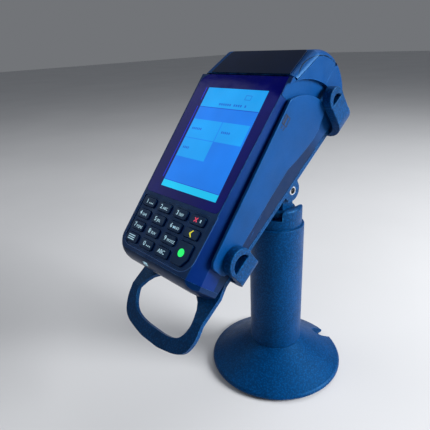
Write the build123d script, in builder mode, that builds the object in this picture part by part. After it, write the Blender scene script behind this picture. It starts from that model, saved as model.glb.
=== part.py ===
"""Handheld card payment terminal in a tilting cradle on a round counter pole.

World frame: +Z up, origin on the pole axis at the underside of the base, X across the terminal,
the customer side towards -Y. All lengths are in millimetres.

The terminal has its own frame: u to the right across the face, v up the face, w out of the face,
with its zero at the middle of the display. The cradle has another: u, s up its plate and n out of
its front, with n = 0 at mid thickness. The cradle plate is not parallel to the terminal's face,
because the terminal is thicker at its printer end.
"""
from build123d import *
import math
import os

os.makedirs("parts", exist_ok=True)

# ---------------------------------------------------------------- driving dimensions
GAP = 0.3                      # air between separate pieces
FIT = 0.05                     # radial clearance of a running fit

# stand
BASE_R = 52.0
BASE_RIM = 5.0
BASE_TOP = 23.2
PAD_THICK = 1.5
PAD_R = 49.0
POLE_R = 20.0
POLE_BORE_R = 17.5
POLE_TOP = 123.0
SPIGOT_TOP = 38.0
CABLE_BORE_R = 7.0
NOTCH_WIDTH = 12.0
NOTCH_ANGLE = 70.5             # direction of the cable notch, degrees from +X
NOTCH_CENTRE_R = 43.5
CHANNEL_HEIGHT = 9.0
COUNTER_PCD = 72.0
COUNTER_HOLE_R = 2.5
COUNTER_HOLE_DEPTH = 7.0
CAP_R = 18.3
CAP_PLUG = 12.0                # how far the cap reaches down the pole
CAP_DECK = 130.0
CAP_TOP = 137.5
SADDLE_HALF = 14.4
STEM_R = 6.5
STEM_BORE_R = 3.5
COLLAR_R = 13.2
COLLAR_TOP = 135.5

# tilt joint
TILT_Z = 149.6
KNUCKLE_R = 7.0
KNUCKLE_HALF = 9.8
WASHER_THICK = 0.5
EAR_THICK = 3.0
EAR_R = 7.6
PIN_R = 3.2
PIN_BORE_R = 2.2

# cradle
PLATE_ANGLE = 36.95            # the cradle plate above the horizontal, degrees
PLATE_Y = -64.28
PLATE_Z = 133.13
PLATE_THICK = 2.6
PLATE_HALF = 31.6
PLATE_TOP_S = 116.0
BEND_S = -50.0
BEND_ANGLE = 20.0
LOOP_HALF = 26.8               # the handle's finger hole, at the bend
HANDLE_HALF = 33.8
SCREW_R = 1.5
SCREW_HEAD_R = 2.7
GRIP_INNER = 37.3
GRIP_OUTER = 42.6
FOOT_THICK = 2.0

# terminal
FACE_ANGLE = 50.46             # the terminal's face above the horizontal, degrees
FACE_Y = -59.9
FACE_Z = 193.57
WALL = 2.0
LEFT = -37.0
RIGHT = 36.3
CORE_RIGHT = 34.0              # the side wall beside the swipe slot
CHIN_V = -84.0
LID_V = 44.0                   # where the display glass ends and the printer lid begins
LID_TOP = (67.5, -9.0)
BULGE_CENTRE = (47.4, -28.8)
BULGE_R = 28.2
PARTING_W = -28.5
BACK_N = 2.4                   # the terminal's back, above the middle of the cradle plate
HINGE = (73.9, -28.4)
LID_THICK = 3.2
LID_PLATE_THICK = 1.4
GLASS_THICK = 1.2
KEY_PROUD = 0.7
KEY_WIDTH = 12.0
KEY_HEIGHT = 5.8
KEY_COLUMNS = (-26.6, -11.55, 3.7, 18.5)
KEY_ROWS = (-46.9, -54.9, -62.9, -70.9)
SLOT_DEPTH_W = -17.0
RAIL_INNER = 35.4
RAIL_OUTER = 37.0
SCREEN_WIDTH = 49.0
SCREEN_HEIGHT = 69.0

# printer
PAPER_R = 16.6
ROLL_BORE_R = 6.0
PAPER_U = (-29.6, 27.4)
ROLL_CENTRE = (51.5, -35.6)
PLATEN = (51.5, -10.3)
PLATEN_R = 3.2
MODULE = 0.5
PLATEN_TEETH = 14
DRIVE_TEETH = 30
PINION_TEETH = 10
GEAR_U = -34.7
GEAR_THICK = 2.2

# ---------------------------------------------------------------- frames
face_cos = math.cos(math.radians(FACE_ANGLE))
face_sin = math.sin(math.radians(FACE_ANGLE))
plate_cos = math.cos(math.radians(PLATE_ANGLE))
plate_sin = math.sin(math.radians(PLATE_ANGLE))
handle_cos = math.cos(math.radians(PLATE_ANGLE + BEND_ANGLE))
handle_sin = math.sin(math.radians(PLATE_ANGLE + BEND_ANGLE))

FACE = Plane(origin=(0, FACE_Y, FACE_Z), x_dir=(1, 0, 0), z_dir=(0, -face_sin, face_cos))
SIDE = Plane(origin=(0, FACE_Y, FACE_Z), x_dir=(0, face_cos, face_sin), z_dir=(1, 0, 0))
END = Plane(origin=(0, FACE_Y, FACE_Z), x_dir=(1, 0, 0), z_dir=(0, -face_cos, -face_sin))
CRADLE = Plane(origin=(0, PLATE_Y, PLATE_Z), x_dir=(1, 0, 0), z_dir=(0, -plate_sin, plate_cos))
CRADLE_SIDE = Plane(origin=(0, PLATE_Y, PLATE_Z), x_dir=(0, plate_cos, plate_sin), z_dir=(1, 0, 0))
CRADLE_END = Plane(origin=(0, PLATE_Y, PLATE_Z), x_dir=(1, 0, 0), z_dir=(0, -plate_cos, -plate_sin))
HANDLE = Plane(
    origin=(0, PLATE_Y + BEND_S * plate_cos, PLATE_Z + BEND_S * plate_sin),
    x_dir=(1, 0, 0),
    z_dir=(0, -handle_sin, handle_cos),
)


def to_face(s, n):
    """Turn cradle coordinates (s, n) into terminal coordinates (v, w)."""
    y = PLATE_Y + s * plate_cos - n * plate_sin - FACE_Y
    z = PLATE_Z + s * plate_sin + n * plate_cos - FACE_Z
    return (y * face_cos + z * face_sin, -y * face_sin + z * face_cos)


def back_w(v, n):
    """The height w, at v, of the plane parallel to the cradle plate at n."""
    v0, w0 = to_face(0, n)
    slope = math.tan(math.radians(PLATE_ANGLE - FACE_ANGLE))
    return w0 + (v - v0) * slope


def finish(builder, name):
    """Label a finished piece and write its file."""
    builder.part.label = name
    export_step(builder.part, f"parts/{name}.step")


# ---------------------------------------------------------------- stand
with BuildPart() as base_dish:
    with BuildSketch(Plane.XZ) as half_section:
        with BuildLine():
            foot = Polyline((CABLE_BORE_R, PAD_THICK), (BASE_R - 1.0, PAD_THICK), (BASE_R, PAD_THICK + 1.0))
            rim = Line(foot @ 1, (BASE_R, BASE_RIM - 1.5))
            edge = ThreePointArc(rim @ 1, (BASE_R - 0.7, BASE_RIM - 0.3), (BASE_R - 2.4, BASE_RIM + 0.7))
            cone = ThreePointArc(edge @ 1, ((BASE_R + POLE_R) / 2, 13.3), (POLE_R + 0.6, BASE_TOP - 0.4))
            Polyline(
                cone @ 1,
                (POLE_R, BASE_TOP),
                (POLE_BORE_R - FIT, BASE_TOP),
                (POLE_BORE_R - FIT, SPIGOT_TOP),
                (CABLE_BORE_R, SPIGOT_TOP),
                (CABLE_BORE_R, PAD_THICK),
            )
        make_face()
    revolve(axis=Axis.Z)
    with BuildSketch(Plane.XY.offset(PAD_THICK)) as cable_notch:
        with PolarLocations(NOTCH_CENTRE_R, 1, start_angle=NOTCH_ANGLE):
            Circle(NOTCH_WIDTH / 2)
        with PolarLocations(NOTCH_CENTRE_R + BASE_R / 2, 1, start_angle=NOTCH_ANGLE):
            Rectangle(BASE_R, NOTCH_WIDTH)
    extrude(amount=BASE_TOP, mode=Mode.SUBTRACT)
    with BuildSketch(Plane.XY.offset(PAD_THICK)) as cable_channel:
        with PolarLocations(NOTCH_CENTRE_R / 2, 1, start_angle=NOTCH_ANGLE):
            Rectangle(NOTCH_CENTRE_R, NOTCH_WIDTH - 2)
    extrude(amount=CHANNEL_HEIGHT, mode=Mode.SUBTRACT)
    with BuildSketch(Plane.XY.offset(PAD_THICK)) as counter_holes:
        with PolarLocations(COUNTER_PCD / 2, 3, start_angle=NOTCH_ANGLE - 60):
            Circle(COUNTER_HOLE_R)
    extrude(amount=COUNTER_HOLE_DEPTH, mode=Mode.SUBTRACT)
finish(base_dish, "base_dish")

with BuildPart() as base_pad:
    with BuildSketch():
        Circle(PAD_R)
        Circle(CABLE_BORE_R + 1, mode=Mode.SUBTRACT)
        with PolarLocations(PAD_R / 2, 1, start_angle=NOTCH_ANGLE):
            Rectangle(PAD_R + 4, NOTCH_WIDTH, mode=Mode.SUBTRACT)
        with PolarLocations(COUNTER_PCD / 2, 3, start_angle=NOTCH_ANGLE - 60):
            Circle(COUNTER_HOLE_R + 0.8, mode=Mode.SUBTRACT)
    extrude(amount=PAD_THICK)
finish(base_pad, "base_pad")

with BuildPart() as pole_tube:
    with BuildSketch(Plane.XY.offset(BASE_TOP)):
        Circle(POLE_R)
        Circle(POLE_BORE_R, mode=Mode.SUBTRACT)
    extrude(amount=POLE_TOP - BASE_TOP)
    outer_rims = pole_tube.edges().filter_by(GeomType.CIRCLE).group_by(SortBy.RADIUS)[-1]
    fillet(outer_rims, 0.8)
finish(pole_tube, "pole_tube")

with BuildPart() as pole_cap:
    with BuildSketch(Plane.XY.offset(POLE_TOP - CAP_PLUG)):
        Circle(POLE_BORE_R - FIT)
    extrude(amount=CAP_PLUG)
    with BuildSketch(Plane.XY.offset(POLE_TOP)):
        Circle(CAP_R)
    extrude(amount=CAP_TOP - POLE_TOP)
    fillet(pole_cap.faces().sort_by(Axis.Z)[-1].edges(), 2.5)
    with BuildSketch(Plane.XZ):
        with Locations((0, (CAP_DECK + CAP_TOP) / 2 + 2)):
            Rectangle(2 * SADDLE_HALF, CAP_TOP - CAP_DECK + 4)
    extrude(amount=CAP_R + 1, both=True, mode=Mode.SUBTRACT)
    with BuildSketch(Plane.XY.offset(POLE_TOP - CAP_PLUG)):
        Circle(STEM_R + FIT)
    extrude(amount=CAP_TOP, mode=Mode.SUBTRACT)
    with BuildSketch(Plane.XY.offset(POLE_TOP - CAP_PLUG)):
        Circle(POLE_BORE_R - 3.5)
        Circle(STEM_R + 3, mode=Mode.SUBTRACT)
    extrude(amount=9, mode=Mode.SUBTRACT)
finish(pole_cap, "pole_cap")

# ---------------------------------------------------------------- swivel and tilt joint
NUT_TOP = POLE_TOP - CAP_PLUG - GAP
NUT_THICK = 6.0
NUT_ACROSS_R = 11.0
with BuildPart() as swivel_head:
    with BuildSketch(Plane.XY.offset(CAP_DECK + GAP)):
        Circle(COLLAR_R)
    extrude(amount=COLLAR_TOP - CAP_DECK - GAP)
    fillet(swivel_head.faces().sort_by(Axis.Z)[-1].edges(), 1.2)
    with BuildSketch(Plane.XY.offset(COLLAR_TOP)):
        Rectangle(2 * KNUCKLE_HALF, 2 * KNUCKLE_R - 3)
    extrude(amount=TILT_Z - COLLAR_TOP)
    with BuildSketch(Plane.YZ.offset(-KNUCKLE_HALF)):
        with Locations((0, TILT_Z)):
            Circle(KNUCKLE_R)
    extrude(amount=2 * KNUCKLE_HALF)
    with BuildSketch(Plane.XY.offset(NUT_TOP - NUT_THICK - 1)):
        Circle(STEM_R)
    extrude(amount=CAP_DECK - NUT_TOP + NUT_THICK + 2)
    with BuildSketch(Plane.YZ.offset(-KNUCKLE_HALF - 1)):
        with Locations((0, TILT_Z)):
            Circle(PIN_R + FIT)
    extrude(amount=2 * KNUCKLE_HALF + 2, mode=Mode.SUBTRACT)
    with BuildSketch(Plane.XY.offset(NUT_TOP - NUT_THICK - 2)):
        Circle(STEM_BORE_R)
    extrude(amount=CAP_DECK - NUT_TOP + NUT_THICK + 2, mode=Mode.SUBTRACT)
finish(swivel_head, "swivel_head")

with BuildPart() as swivel_nut:
    with BuildSketch(Plane.XY.offset(NUT_TOP - NUT_THICK)):
        RegularPolygon(NUT_ACROSS_R, 6)
        Circle(STEM_R + FIT, mode=Mode.SUBTRACT)
    extrude(amount=NUT_THICK)
finish(swivel_nut, "swivel_nut")

EAR_INNER = KNUCKLE_HALF + WASHER_THICK + 0.2
EAR_OUTER = EAR_INNER + EAR_THICK
AXIS_S = (0 - PLATE_Y) * plate_cos + (TILT_Z - PLATE_Z) * plate_sin
AXIS_N = -(0 - PLATE_Y) * plate_sin + (TILT_Z - PLATE_Z) * plate_cos
PLATE_BACK = -PLATE_THICK / 2
BRACKET_THICK = 3.0
BRACKET_HALF_S = 17.0
BRACKET_SCREW_U = 6.0
BRACKET_SCREW_S = 12.0
with BuildPart() as tilt_bracket:
    with BuildSketch(CRADLE.offset(PLATE_BACK - BRACKET_THICK)):
        with Locations((0, AXIS_S)):
            RectangleRounded(2 * EAR_OUTER, 2 * BRACKET_HALF_S, 2.5)
    extrude(amount=BRACKET_THICK)
    for ear_u in (-EAR_OUTER, EAR_INNER):
        with BuildSketch(CRADLE_SIDE.offset(ear_u)):
            with BuildLine():
                Polyline(
                    (AXIS_S - EAR_R, AXIS_N),
                    (AXIS_S - BRACKET_HALF_S + 3, PLATE_BACK - BRACKET_THICK + 0.5),
                    (AXIS_S + BRACKET_HALF_S - 3, PLATE_BACK - BRACKET_THICK + 0.5),
                    (AXIS_S + EAR_R, AXIS_N),
                    close=True,
                )
            make_face()
            with Locations((AXIS_S, AXIS_N)):
                Circle(EAR_R)
        extrude(amount=EAR_THICK)
    with BuildSketch(CRADLE_SIDE.offset(-EAR_OUTER - 1)):
        with Locations((AXIS_S, AXIS_N)):
            Circle(PIN_R)
    extrude(amount=2 * EAR_OUTER + 2, mode=Mode.SUBTRACT)
    with BuildSketch(CRADLE.offset(PLATE_BACK - BRACKET_THICK)):
        with Locations((0, AXIS_S)):
            with GridLocations(2 * BRACKET_SCREW_U, 2 * BRACKET_SCREW_S, 2, 2):
                Circle(SCREW_R + 0.1)
    extrude(amount=BRACKET_THICK, mode=Mode.SUBTRACT)
finish(tilt_bracket, "tilt_bracket")

PIN_END = EAR_OUTER + 0.5
PIN_HEAD_THICK = 1.2
PIN_HEAD_R = PIN_R + 1.8
with BuildPart() as tilt_pin:
    with BuildSketch(Plane.YZ.offset(-PIN_END)):
        with Locations((0, TILT_Z)):
            Circle(PIN_R)
    extrude(amount=2 * PIN_END)
    with BuildSketch(Plane.YZ.offset(-PIN_END - PIN_HEAD_THICK)):
        with Locations((0, TILT_Z)):
            Circle(PIN_HEAD_R)
    extrude(amount=PIN_HEAD_THICK)
    with BuildSketch(Plane.YZ.offset(-PIN_END - 2)):
        with Locations((0, TILT_Z)):
            Circle(PIN_BORE_R)
    extrude(amount=2 * PIN_END + 3, mode=Mode.SUBTRACT)
    pin_rims = tilt_pin.edges().filter_by(GeomType.CIRCLE).group_by(Axis.X)[-1]
    chamfer(pin_rims.sort_by(SortBy.RADIUS)[-1:], 0.3)
finish(tilt_pin, "tilt_pin")

with BuildPart() as friction_washers:
    for washer_u in (-KNUCKLE_HALF - 0.1 - WASHER_THICK, KNUCKLE_HALF + 0.1):
        with BuildSketch(Plane.YZ.offset(washer_u)):
            with Locations((0, TILT_Z)):
                Circle(KNUCKLE_R - 0.3)
                Circle(PIN_R + FIT, mode=Mode.SUBTRACT)
        extrude(amount=WASHER_THICK)
finish(friction_washers, "friction_washers")

# ---------------------------------------------------------------- cradle
GRIP_LOW_S = (-20.2, -3.4)
GRIP_HIGH_S = (94.0, 107.5)
FOOT_INNER = 20.0
SCREW_U = 24.5
SCREW_INSET = 4.0              # from each end of a grip's foot
SCREW_HEAD_THICK = 1.6
ARM_GAP = 0.1                  # between the plate and a grip's arm
PLATE_SLOT_S = 18.0


def grip_screw_places():
    """The two screws of each grip foot, as (u, s)."""
    places = []
    for side in (-1, 1):
        for low, high in (GRIP_LOW_S, GRIP_HIGH_S):
            places += [(side * SCREW_U, low + SCREW_INSET), (side * SCREW_U, high - SCREW_INSET)]
    return places


def bracket_screw_places():
    """The four screws of the tilt bracket, as (u, s)."""
    places_u = (-BRACKET_SCREW_U, BRACKET_SCREW_U)
    places_s = (AXIS_S - BRACKET_SCREW_S, AXIS_S + BRACKET_SCREW_S)
    return [(u, s) for u in places_u for s in places_s]


with BuildPart() as holder_plate:
    with BuildSketch(CRADLE.offset(PLATE_BACK)):
        with BuildLine():
            right = Polyline(
                (0, PLATE_TOP_S), (PLATE_HALF - 6, PLATE_TOP_S), (PLATE_HALF, PLATE_TOP_S - 6),
                (PLATE_HALF, -24.0), (HANDLE_HALF, -32.0), (HANDLE_HALF, BEND_S), (0, BEND_S),
            )
            mirror(right, about=Plane.YZ)
        make_face()
        with BuildLine():
            loop = Polyline((0, -36.5), (17.5, -36.5), (22.0, -40.0), (24.7, -44.0), (LOOP_HALF, BEND_S), (0, BEND_S))
            mirror(loop, about=Plane.YZ)
        make_face(mode=Mode.SUBTRACT)
    extrude(amount=PLATE_THICK)
    with BuildSketch(HANDLE.offset(PLATE_BACK)):
        with BuildLine():
            outer = Polyline((0, 0.6), (HANDLE_HALF, 0.6), (HANDLE_HALF, -5.0))
            bow = Spline(
                outer @ 1, (33.0, -10.5), (29.5, -17.7), (20.0, -22.4), (10.0, -24.3), (0, -24.7),
                tangents=((0, -1), (-1, 0)),
            )
            mirror(about=Plane.YZ)
        make_face()
        with BuildLine():
            inner = Polyline((0, 0.6), (LOOP_HALF, 0.6), (LOOP_HALF, 0.0))
            Spline(
                inner @ 1, (25.6, -6.0), (23.0, -10.7), (17.0, -14.4), (9.0, -15.7), (0, -15.9),
                tangents=((0, -1), (-1, 0)),
            )
            mirror(about=Plane.YZ)
        make_face(mode=Mode.SUBTRACT)
    extrude(amount=PLATE_THICK)
    with BuildSketch(CRADLE.offset(PLATE_BACK)):
        with Locations(*grip_screw_places(), *bracket_screw_places()):
            Circle(SCREW_R)
    extrude(amount=PLATE_THICK, mode=Mode.SUBTRACT)
    with BuildSketch(CRADLE.offset(PLATE_BACK)):
        with Locations((0, PLATE_SLOT_S)):
            SlotOverall(26, NOTCH_WIDTH, rotation=90)
    extrude(amount=PLATE_THICK, mode=Mode.SUBTRACT)
finish(holder_plate, "holder_plate")


def grip(side, s_range, base_n, slot_base, crown_n, name):
    """One hooked side grip: a foot behind the plate, an arm round its edge and a slotted D outside."""
    low, high = s_range
    length = high - low
    start_u = side * GRIP_INNER if side > 0 else -GRIP_OUTER
    with BuildPart() as piece:
        with BuildSketch(CRADLE_SIDE.offset(start_u)):
            with BuildLine():
                heel = Polyline((low, slot_base), (low + 0.4, base_n), (high, base_n + 0.5), (high, slot_base))
                ThreePointArc(heel @ 1, (low + 0.52 * length, crown_n), heel @ 0)
            make_face()
            fillet(vertices().group_by(Axis.Y)[0], 1.0)
            with BuildLine():
                seat = Line((low + 2.2, slot_base + 0.6), (high - 2.6, slot_base + 0.6))
                ThreePointArc(seat @ 1, (low + 0.5 * length, crown_n - 4.4), seat @ 0)
            make_face(mode=Mode.SUBTRACT)
        extrude(amount=GRIP_OUTER - GRIP_INNER)
        outside = piece.faces().sort_by(Axis.X)[-1 if side > 0 else 0]
        fillet(outside.edges(), 0.6)
        with BuildSketch(CRADLE_END.offset(-high)):
            with BuildLine():
                arm_back = PLATE_BACK - ARM_GAP - FOOT_THICK
                edge_u = PLATE_HALF + 0.4
                outline = Polyline(
                    (side * FOOT_INNER, PLATE_BACK - ARM_GAP),
                    (side * FOOT_INNER, arm_back),
                    (side * (edge_u + 0.6), arm_back),
                )
                under = ThreePointArc(
                    outline @ 1,
                    (side * (GRIP_OUTER - 2.4), (arm_back + base_n) / 2 - 1.0),
                    (side * GRIP_OUTER, base_n + 1.6),
                )
                over = Polyline(under @ 1, (side * GRIP_INNER, base_n + 1.6), (side * GRIP_INNER, base_n + 0.8))
                ThreePointArc(
                    over @ 1,
                    (side * (edge_u + 4.2), (PLATE_BACK + base_n) / 2 - 0.4),
                    (side * edge_u, PLATE_BACK - ARM_GAP),
                )
                Line((side * edge_u, PLATE_BACK - ARM_GAP), (side * FOOT_INNER, PLATE_BACK - ARM_GAP))
            make_face()
        extrude(amount=length - 0.4)
        with BuildSketch(CRADLE.offset(arm_back - 1)):
            with Locations((side * SCREW_U, low + SCREW_INSET), (side * SCREW_U, high - SCREW_INSET)):
                Circle(SCREW_R + 0.1)
        extrude(amount=FOOT_THICK + 2, mode=Mode.SUBTRACT)
    finish(piece, name)


grip(1, GRIP_LOW_S, 1.6, 10.6, 21.5, "grip_lower_right")
grip(-1, GRIP_LOW_S, 1.6, 10.6, 21.5, "grip_lower_left")
grip(1, GRIP_HIGH_S, 8.6, 21.5, 30.5, "grip_upper_right")
grip(-1, GRIP_HIGH_S, 8.6, 21.5, 30.5, "grip_upper_left")

with BuildPart() as holder_screws:
    foot_back = PLATE_BACK - ARM_GAP - FOOT_THICK
    bracket_back = PLATE_BACK - BRACKET_THICK
    for places, seat_n in ((grip_screw_places(), foot_back), (bracket_screw_places(), bracket_back)):
        with BuildSketch(CRADLE.offset(seat_n - SCREW_HEAD_THICK)):
            with Locations(*places):
                Circle(SCREW_HEAD_R)
                RegularPolygon(1.1, 6, mode=Mode.SUBTRACT)
        extrude(amount=SCREW_HEAD_THICK)
        with BuildSketch(CRADLE.offset(seat_n - 0.4)):
            with Locations(*places):
                Circle(SCREW_R - FIT)
        extrude(amount=-PLATE_BACK - seat_n + 0.2)
finish(holder_screws, "holder_screws")

PAD_CENTRE_S = 40.0
PAD_WIDTH = 50.0
PAD_LENGTH = 120.0
with BuildPart() as adhesive_pad:
    with BuildSketch(CRADLE.offset(-PLATE_BACK)):
        with Locations((0, PAD_CENTRE_S)):
            RectangleRounded(PAD_WIDTH, PAD_LENGTH, 4)
    extrude(amount=BACK_N + PLATE_BACK)
finish(adhesive_pad, "adhesive_pad")

# ---------------------------------------------------------------- terminal outline
# Side views are drawn in (v, w).
CHIN_BACK_V = -79.0
CHIN_BACK_W = -17.7
CHIN_END_V = CHIN_V - 1.0      # the flat outline runs past the chin, which the rounded front then trims
with BuildSketch() as lower_side:
    with BuildLine():
        Polyline(
            (CHIN_END_V, 0), (LID_V, 0), (LID_V, back_w(LID_V, BACK_N)),
            (CHIN_BACK_V, back_w(CHIN_BACK_V, BACK_N)), (CHIN_END_V, CHIN_BACK_W), close=True,
        )
    make_face()

BULGE_BACK_V = 50.5
LID_EDGE_R = 3.5               # where the lid's slope turns into the bulge
with BuildSketch() as upper_side:
    with BuildLine():
        lid_slope = Line((LID_V, 0), LID_TOP)
        ThreePointArc(
            lid_slope @ 1, (BULGE_CENTRE[0] + BULGE_R, BULGE_CENTRE[1]), (BULGE_BACK_V, back_w(BULGE_BACK_V, BACK_N))
        )
        Polyline((BULGE_BACK_V, back_w(BULGE_BACK_V, BACK_N)), (LID_V, back_w(LID_V, BACK_N)), lid_slope @ 0)
    make_face()
    fillet(vertices().sort_by_distance(LID_TOP)[0], LID_EDGE_R)

with BuildSketch() as whole_side:
    with BuildLine():
        lid_slope = Polyline((CHIN_END_V, 0), (LID_V, 0), LID_TOP)
        crown = ThreePointArc(
            lid_slope @ 1, (BULGE_CENTRE[0] + BULGE_R, BULGE_CENTRE[1]), (BULGE_BACK_V, back_w(BULGE_BACK_V, BACK_N))
        )
        Polyline(
            crown @ 1, (CHIN_BACK_V, back_w(CHIN_BACK_V, BACK_N)), (CHIN_END_V, CHIN_BACK_W), (CHIN_END_V, 0)
        )
    make_face()
    fillet(vertices().sort_by_distance(LID_TOP)[0], LID_EDGE_R)

# The printer bulge stands out from the right-hand side above this arch.
with BuildSketch() as bulge_side:
    with BuildLine():
        arch = ThreePointArc((39.0, 0.6), (52.0, -13.7), (58.3, -28.7))
        tail = ThreePointArc(arch @ 1, (58.2, -43.0), (54.5, -62.0))
        Polyline(tail @ 1, (90.0, -62.0), (90.0, 5.0), (39.0, 5.0), arch @ 0)
    make_face()


def bathtub(inset):
    """The terminal's cross-section: straight sides that turn in towards the cradle plate."""
    half = -LEFT - inset
    with BuildSketch(CRADLE_END) as section:
        with BuildLine():
            turn = ThreePointArc((half, 12.0), (half - 1.7, 6.4 + inset * 0.7), (31.5 - inset / 2, BACK_N + inset))
            Line(turn @ 1, (0, BACK_N + inset))
            Polyline(turn @ 0, (half, 100.0), (0, 100.0))
            mirror(about=Plane.YZ)
        make_face()
    return section.sketch


def slot_bevel(shift):
    """The wedge cut away to make the sloping wall that leads a card into the swipe slot."""
    with BuildPart() as wedge:
        for v, edge_u in ((33.0, 33.6), (-90.0, 28.0)):
            with BuildSketch(END.offset(-v)):
                with BuildLine():
                    Polyline((edge_u - shift, 0.6), (42, 0.6), (42, -8), (CORE_RIGHT - shift, -8), close=True)
                make_face()
        loft(ruled=True)
    return wedge.part


CORNER_R = 9.0
CHIN_DEPTH = 13.0
CHIN_BULGE = -77.6 - CHIN_V
CHIN_STEPS = 6
FRONT_LENGTH = 200.0           # longer than the terminal, so that the block's far end trims nothing
SHOULDER_R = 4.0
EASE = 0.05                    # keeps the rounding clear of the flat flanks it would only graze


def rounded_front(inset, right):
    """A long block with the terminal's front outline, whose lower corners follow the rounded chin."""
    low_u = LEFT + inset - EASE
    width = right - inset + EASE - low_u
    rise = CHIN_DEPTH - inset + 3 * EASE
    with BuildPart() as block:
        for step in range(CHIN_STEPS + 1):
            turn = math.pi / 2 * step / CHIN_STEPS
            bottom = CHIN_V + inset + CHIN_BULGE * (1 - math.sin(turn))
            with BuildSketch(FACE.offset(-CHIN_DEPTH + rise * math.cos(turn))):
                with Locations((low_u + width / 2, bottom + FRONT_LENGTH / 2)):
                    RectangleRounded(width, FRONT_LENGTH, CORNER_R - inset)
        loft()
        with BuildSketch(FACE.offset(-CHIN_DEPTH)):
            with Locations((low_u + width / 2, CHIN_V + inset + FRONT_LENGTH / 2)):
                RectangleRounded(width, FRONT_LENGTH, CORNER_R - inset)
        extrude(amount=-FRONT_LENGTH)
    return block.part


with BuildPart() as body:
    with BuildSketch(SIDE.offset(LEFT)):
        add(upper_side.sketch)
    extrude(amount=RIGHT - LEFT)
    for flank in (body.faces().sort_by(Axis.X)[0], body.faces().sort_by(Axis.X)[-1]):
        shoulder = [edge for edge in flank.edges() if FACE.to_local_coords(edge.center()).Y > LID_V + 8]
        fillet(shoulder, SHOULDER_R)
    with BuildSketch(SIDE.offset(LEFT)):
        add(lower_side.sketch)
    extrude(amount=RIGHT - LEFT)
    extrude(bathtub(0), amount=200, both=True, mode=Mode.INTERSECT)
    add(rounded_front(0, RIGHT), mode=Mode.INTERSECT)
    with BuildSketch(SIDE.offset(CORE_RIGHT)):
        Rectangle(400, 400)
        add(bulge_side.sketch, mode=Mode.SUBTRACT)
    extrude(amount=6, mode=Mode.SUBTRACT)
    add(slot_bevel(0), mode=Mode.SUBTRACT)

with BuildPart() as cavity:
    with BuildSketch(SIDE.offset(LEFT + WALL)):
        offset(whole_side.sketch, amount=-WALL, kind=Kind.INTERSECTION)
    extrude(amount=CORE_RIGHT - LEFT - 2 * WALL)
    extrude(bathtub(WALL), amount=200, both=True, mode=Mode.INTERSECT)
    add(rounded_front(WALL, CORE_RIGHT), mode=Mode.INTERSECT)
    add(slot_bevel(WALL), mode=Mode.SUBTRACT)


# ---------------------------------------------------------------- terminal shells
LID_FRONT_V = 45.3
CHIN_SEAM = 78.2               # how far below the display's middle the card slot bezel begins
COLUMN_S = (22.0, 75.5)
COLUMN_LEFT = (LEFT + WALL - 0.2, -28.2)
COLUMN_RIGHT = (26.5, CORE_RIGHT - WALL + 0.2)
COLUMN_LENGTH = 6.0
HOUSING_SCREW_U = (-31.0, 29.3)
HOUSING_SCREW_R = 1.2
HOUSING_SCREW_HEAD_R = 2.1
HOUSING_SCREW_HEAD_THICK = 1.1
COUNTERBORE_R = 2.4
COUNTERBORE_TOP = BACK_N + 1.2
PORT_SLOT = (14.0, 6.0)
HEAD_SIZE = (8.4, 6.0)         # the magnetic head's face, along v and w
HEAD_BACK_U = 29.4
HINGE_R = LID_THICK / 2
HINGE_PIN_R = 0.8
HINGE_ROOM_LID = 0.6           # round the middle knuckle, in the lid
HINGE_ROOM_BODY = 0.95         # round all the knuckles, so that the lid's edge swings past at its widest
LID_KNUCKLES = ((-32.5, -18.0), (18.0, 32.0))
BODY_KNUCKLE = (-17.7, 17.7)
BATTERY_S = (24.0, 74.0)
BATTERY_HALF = 25.5
HATCH_S = (27.0, 71.0)
HATCH_HALF = 24.0
HEAD_V = -8.0
HEAD_W = -12.0
PORT_V = 6.0
PORT_W = -15.0


def housing_screw_places():
    """The four screws that join the two housings, as (u, s)."""
    return [(u, s) for u in HOUSING_SCREW_U for s in COLUMN_S]


with BuildPart() as shell:
    add(body.part)
    add(cavity.part, mode=Mode.SUBTRACT)
    for low_u, high_u in (COLUMN_LEFT, COLUMN_RIGHT):
        with BuildSketch(CRADLE.offset(BACK_N + 1)):
            with Locations(*[((low_u + high_u) / 2, s) for s in COLUMN_S]):
                Rectangle(high_u - low_u, COLUMN_LENGTH)
        extrude(amount=22)
    with BuildSketch(CRADLE.offset(BACK_N - 1)):
        with Locations(*housing_screw_places()):
            Circle(HOUSING_SCREW_R)
    extrude(amount=20, mode=Mode.SUBTRACT)
    with BuildSketch(CRADLE.offset(BACK_N - 1)):
        with Locations(*housing_screw_places()):
            Circle(COUNTERBORE_R)
    extrude(amount=COUNTERBORE_TOP - BACK_N + 1, mode=Mode.SUBTRACT)
    with BuildSketch(SIDE.offset(CORE_RIGHT - WALL - 0.1)):
        with Locations((HEAD_V, HEAD_W)):
            Rectangle(HEAD_SIZE[0] + 2 * GAP, HEAD_SIZE[1] + 2 * GAP)
    extrude(amount=WALL + 1, mode=Mode.SUBTRACT)
    with BuildSketch(SIDE.offset(LEFT - 1)):
        with Locations((PORT_V, PORT_W)):
            SlotOverall(*PORT_SLOT)
    extrude(amount=WALL + 1.5, mode=Mode.SUBTRACT)

KEY_CORNER = 1.6
KEY_CLEAR = 0.25
ENTER_TOP = -60.1
ENTER_BOTTOM = -73.7
ENTER_LEFT = 12.4
ENTER_RIGHT = 24.7


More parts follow.
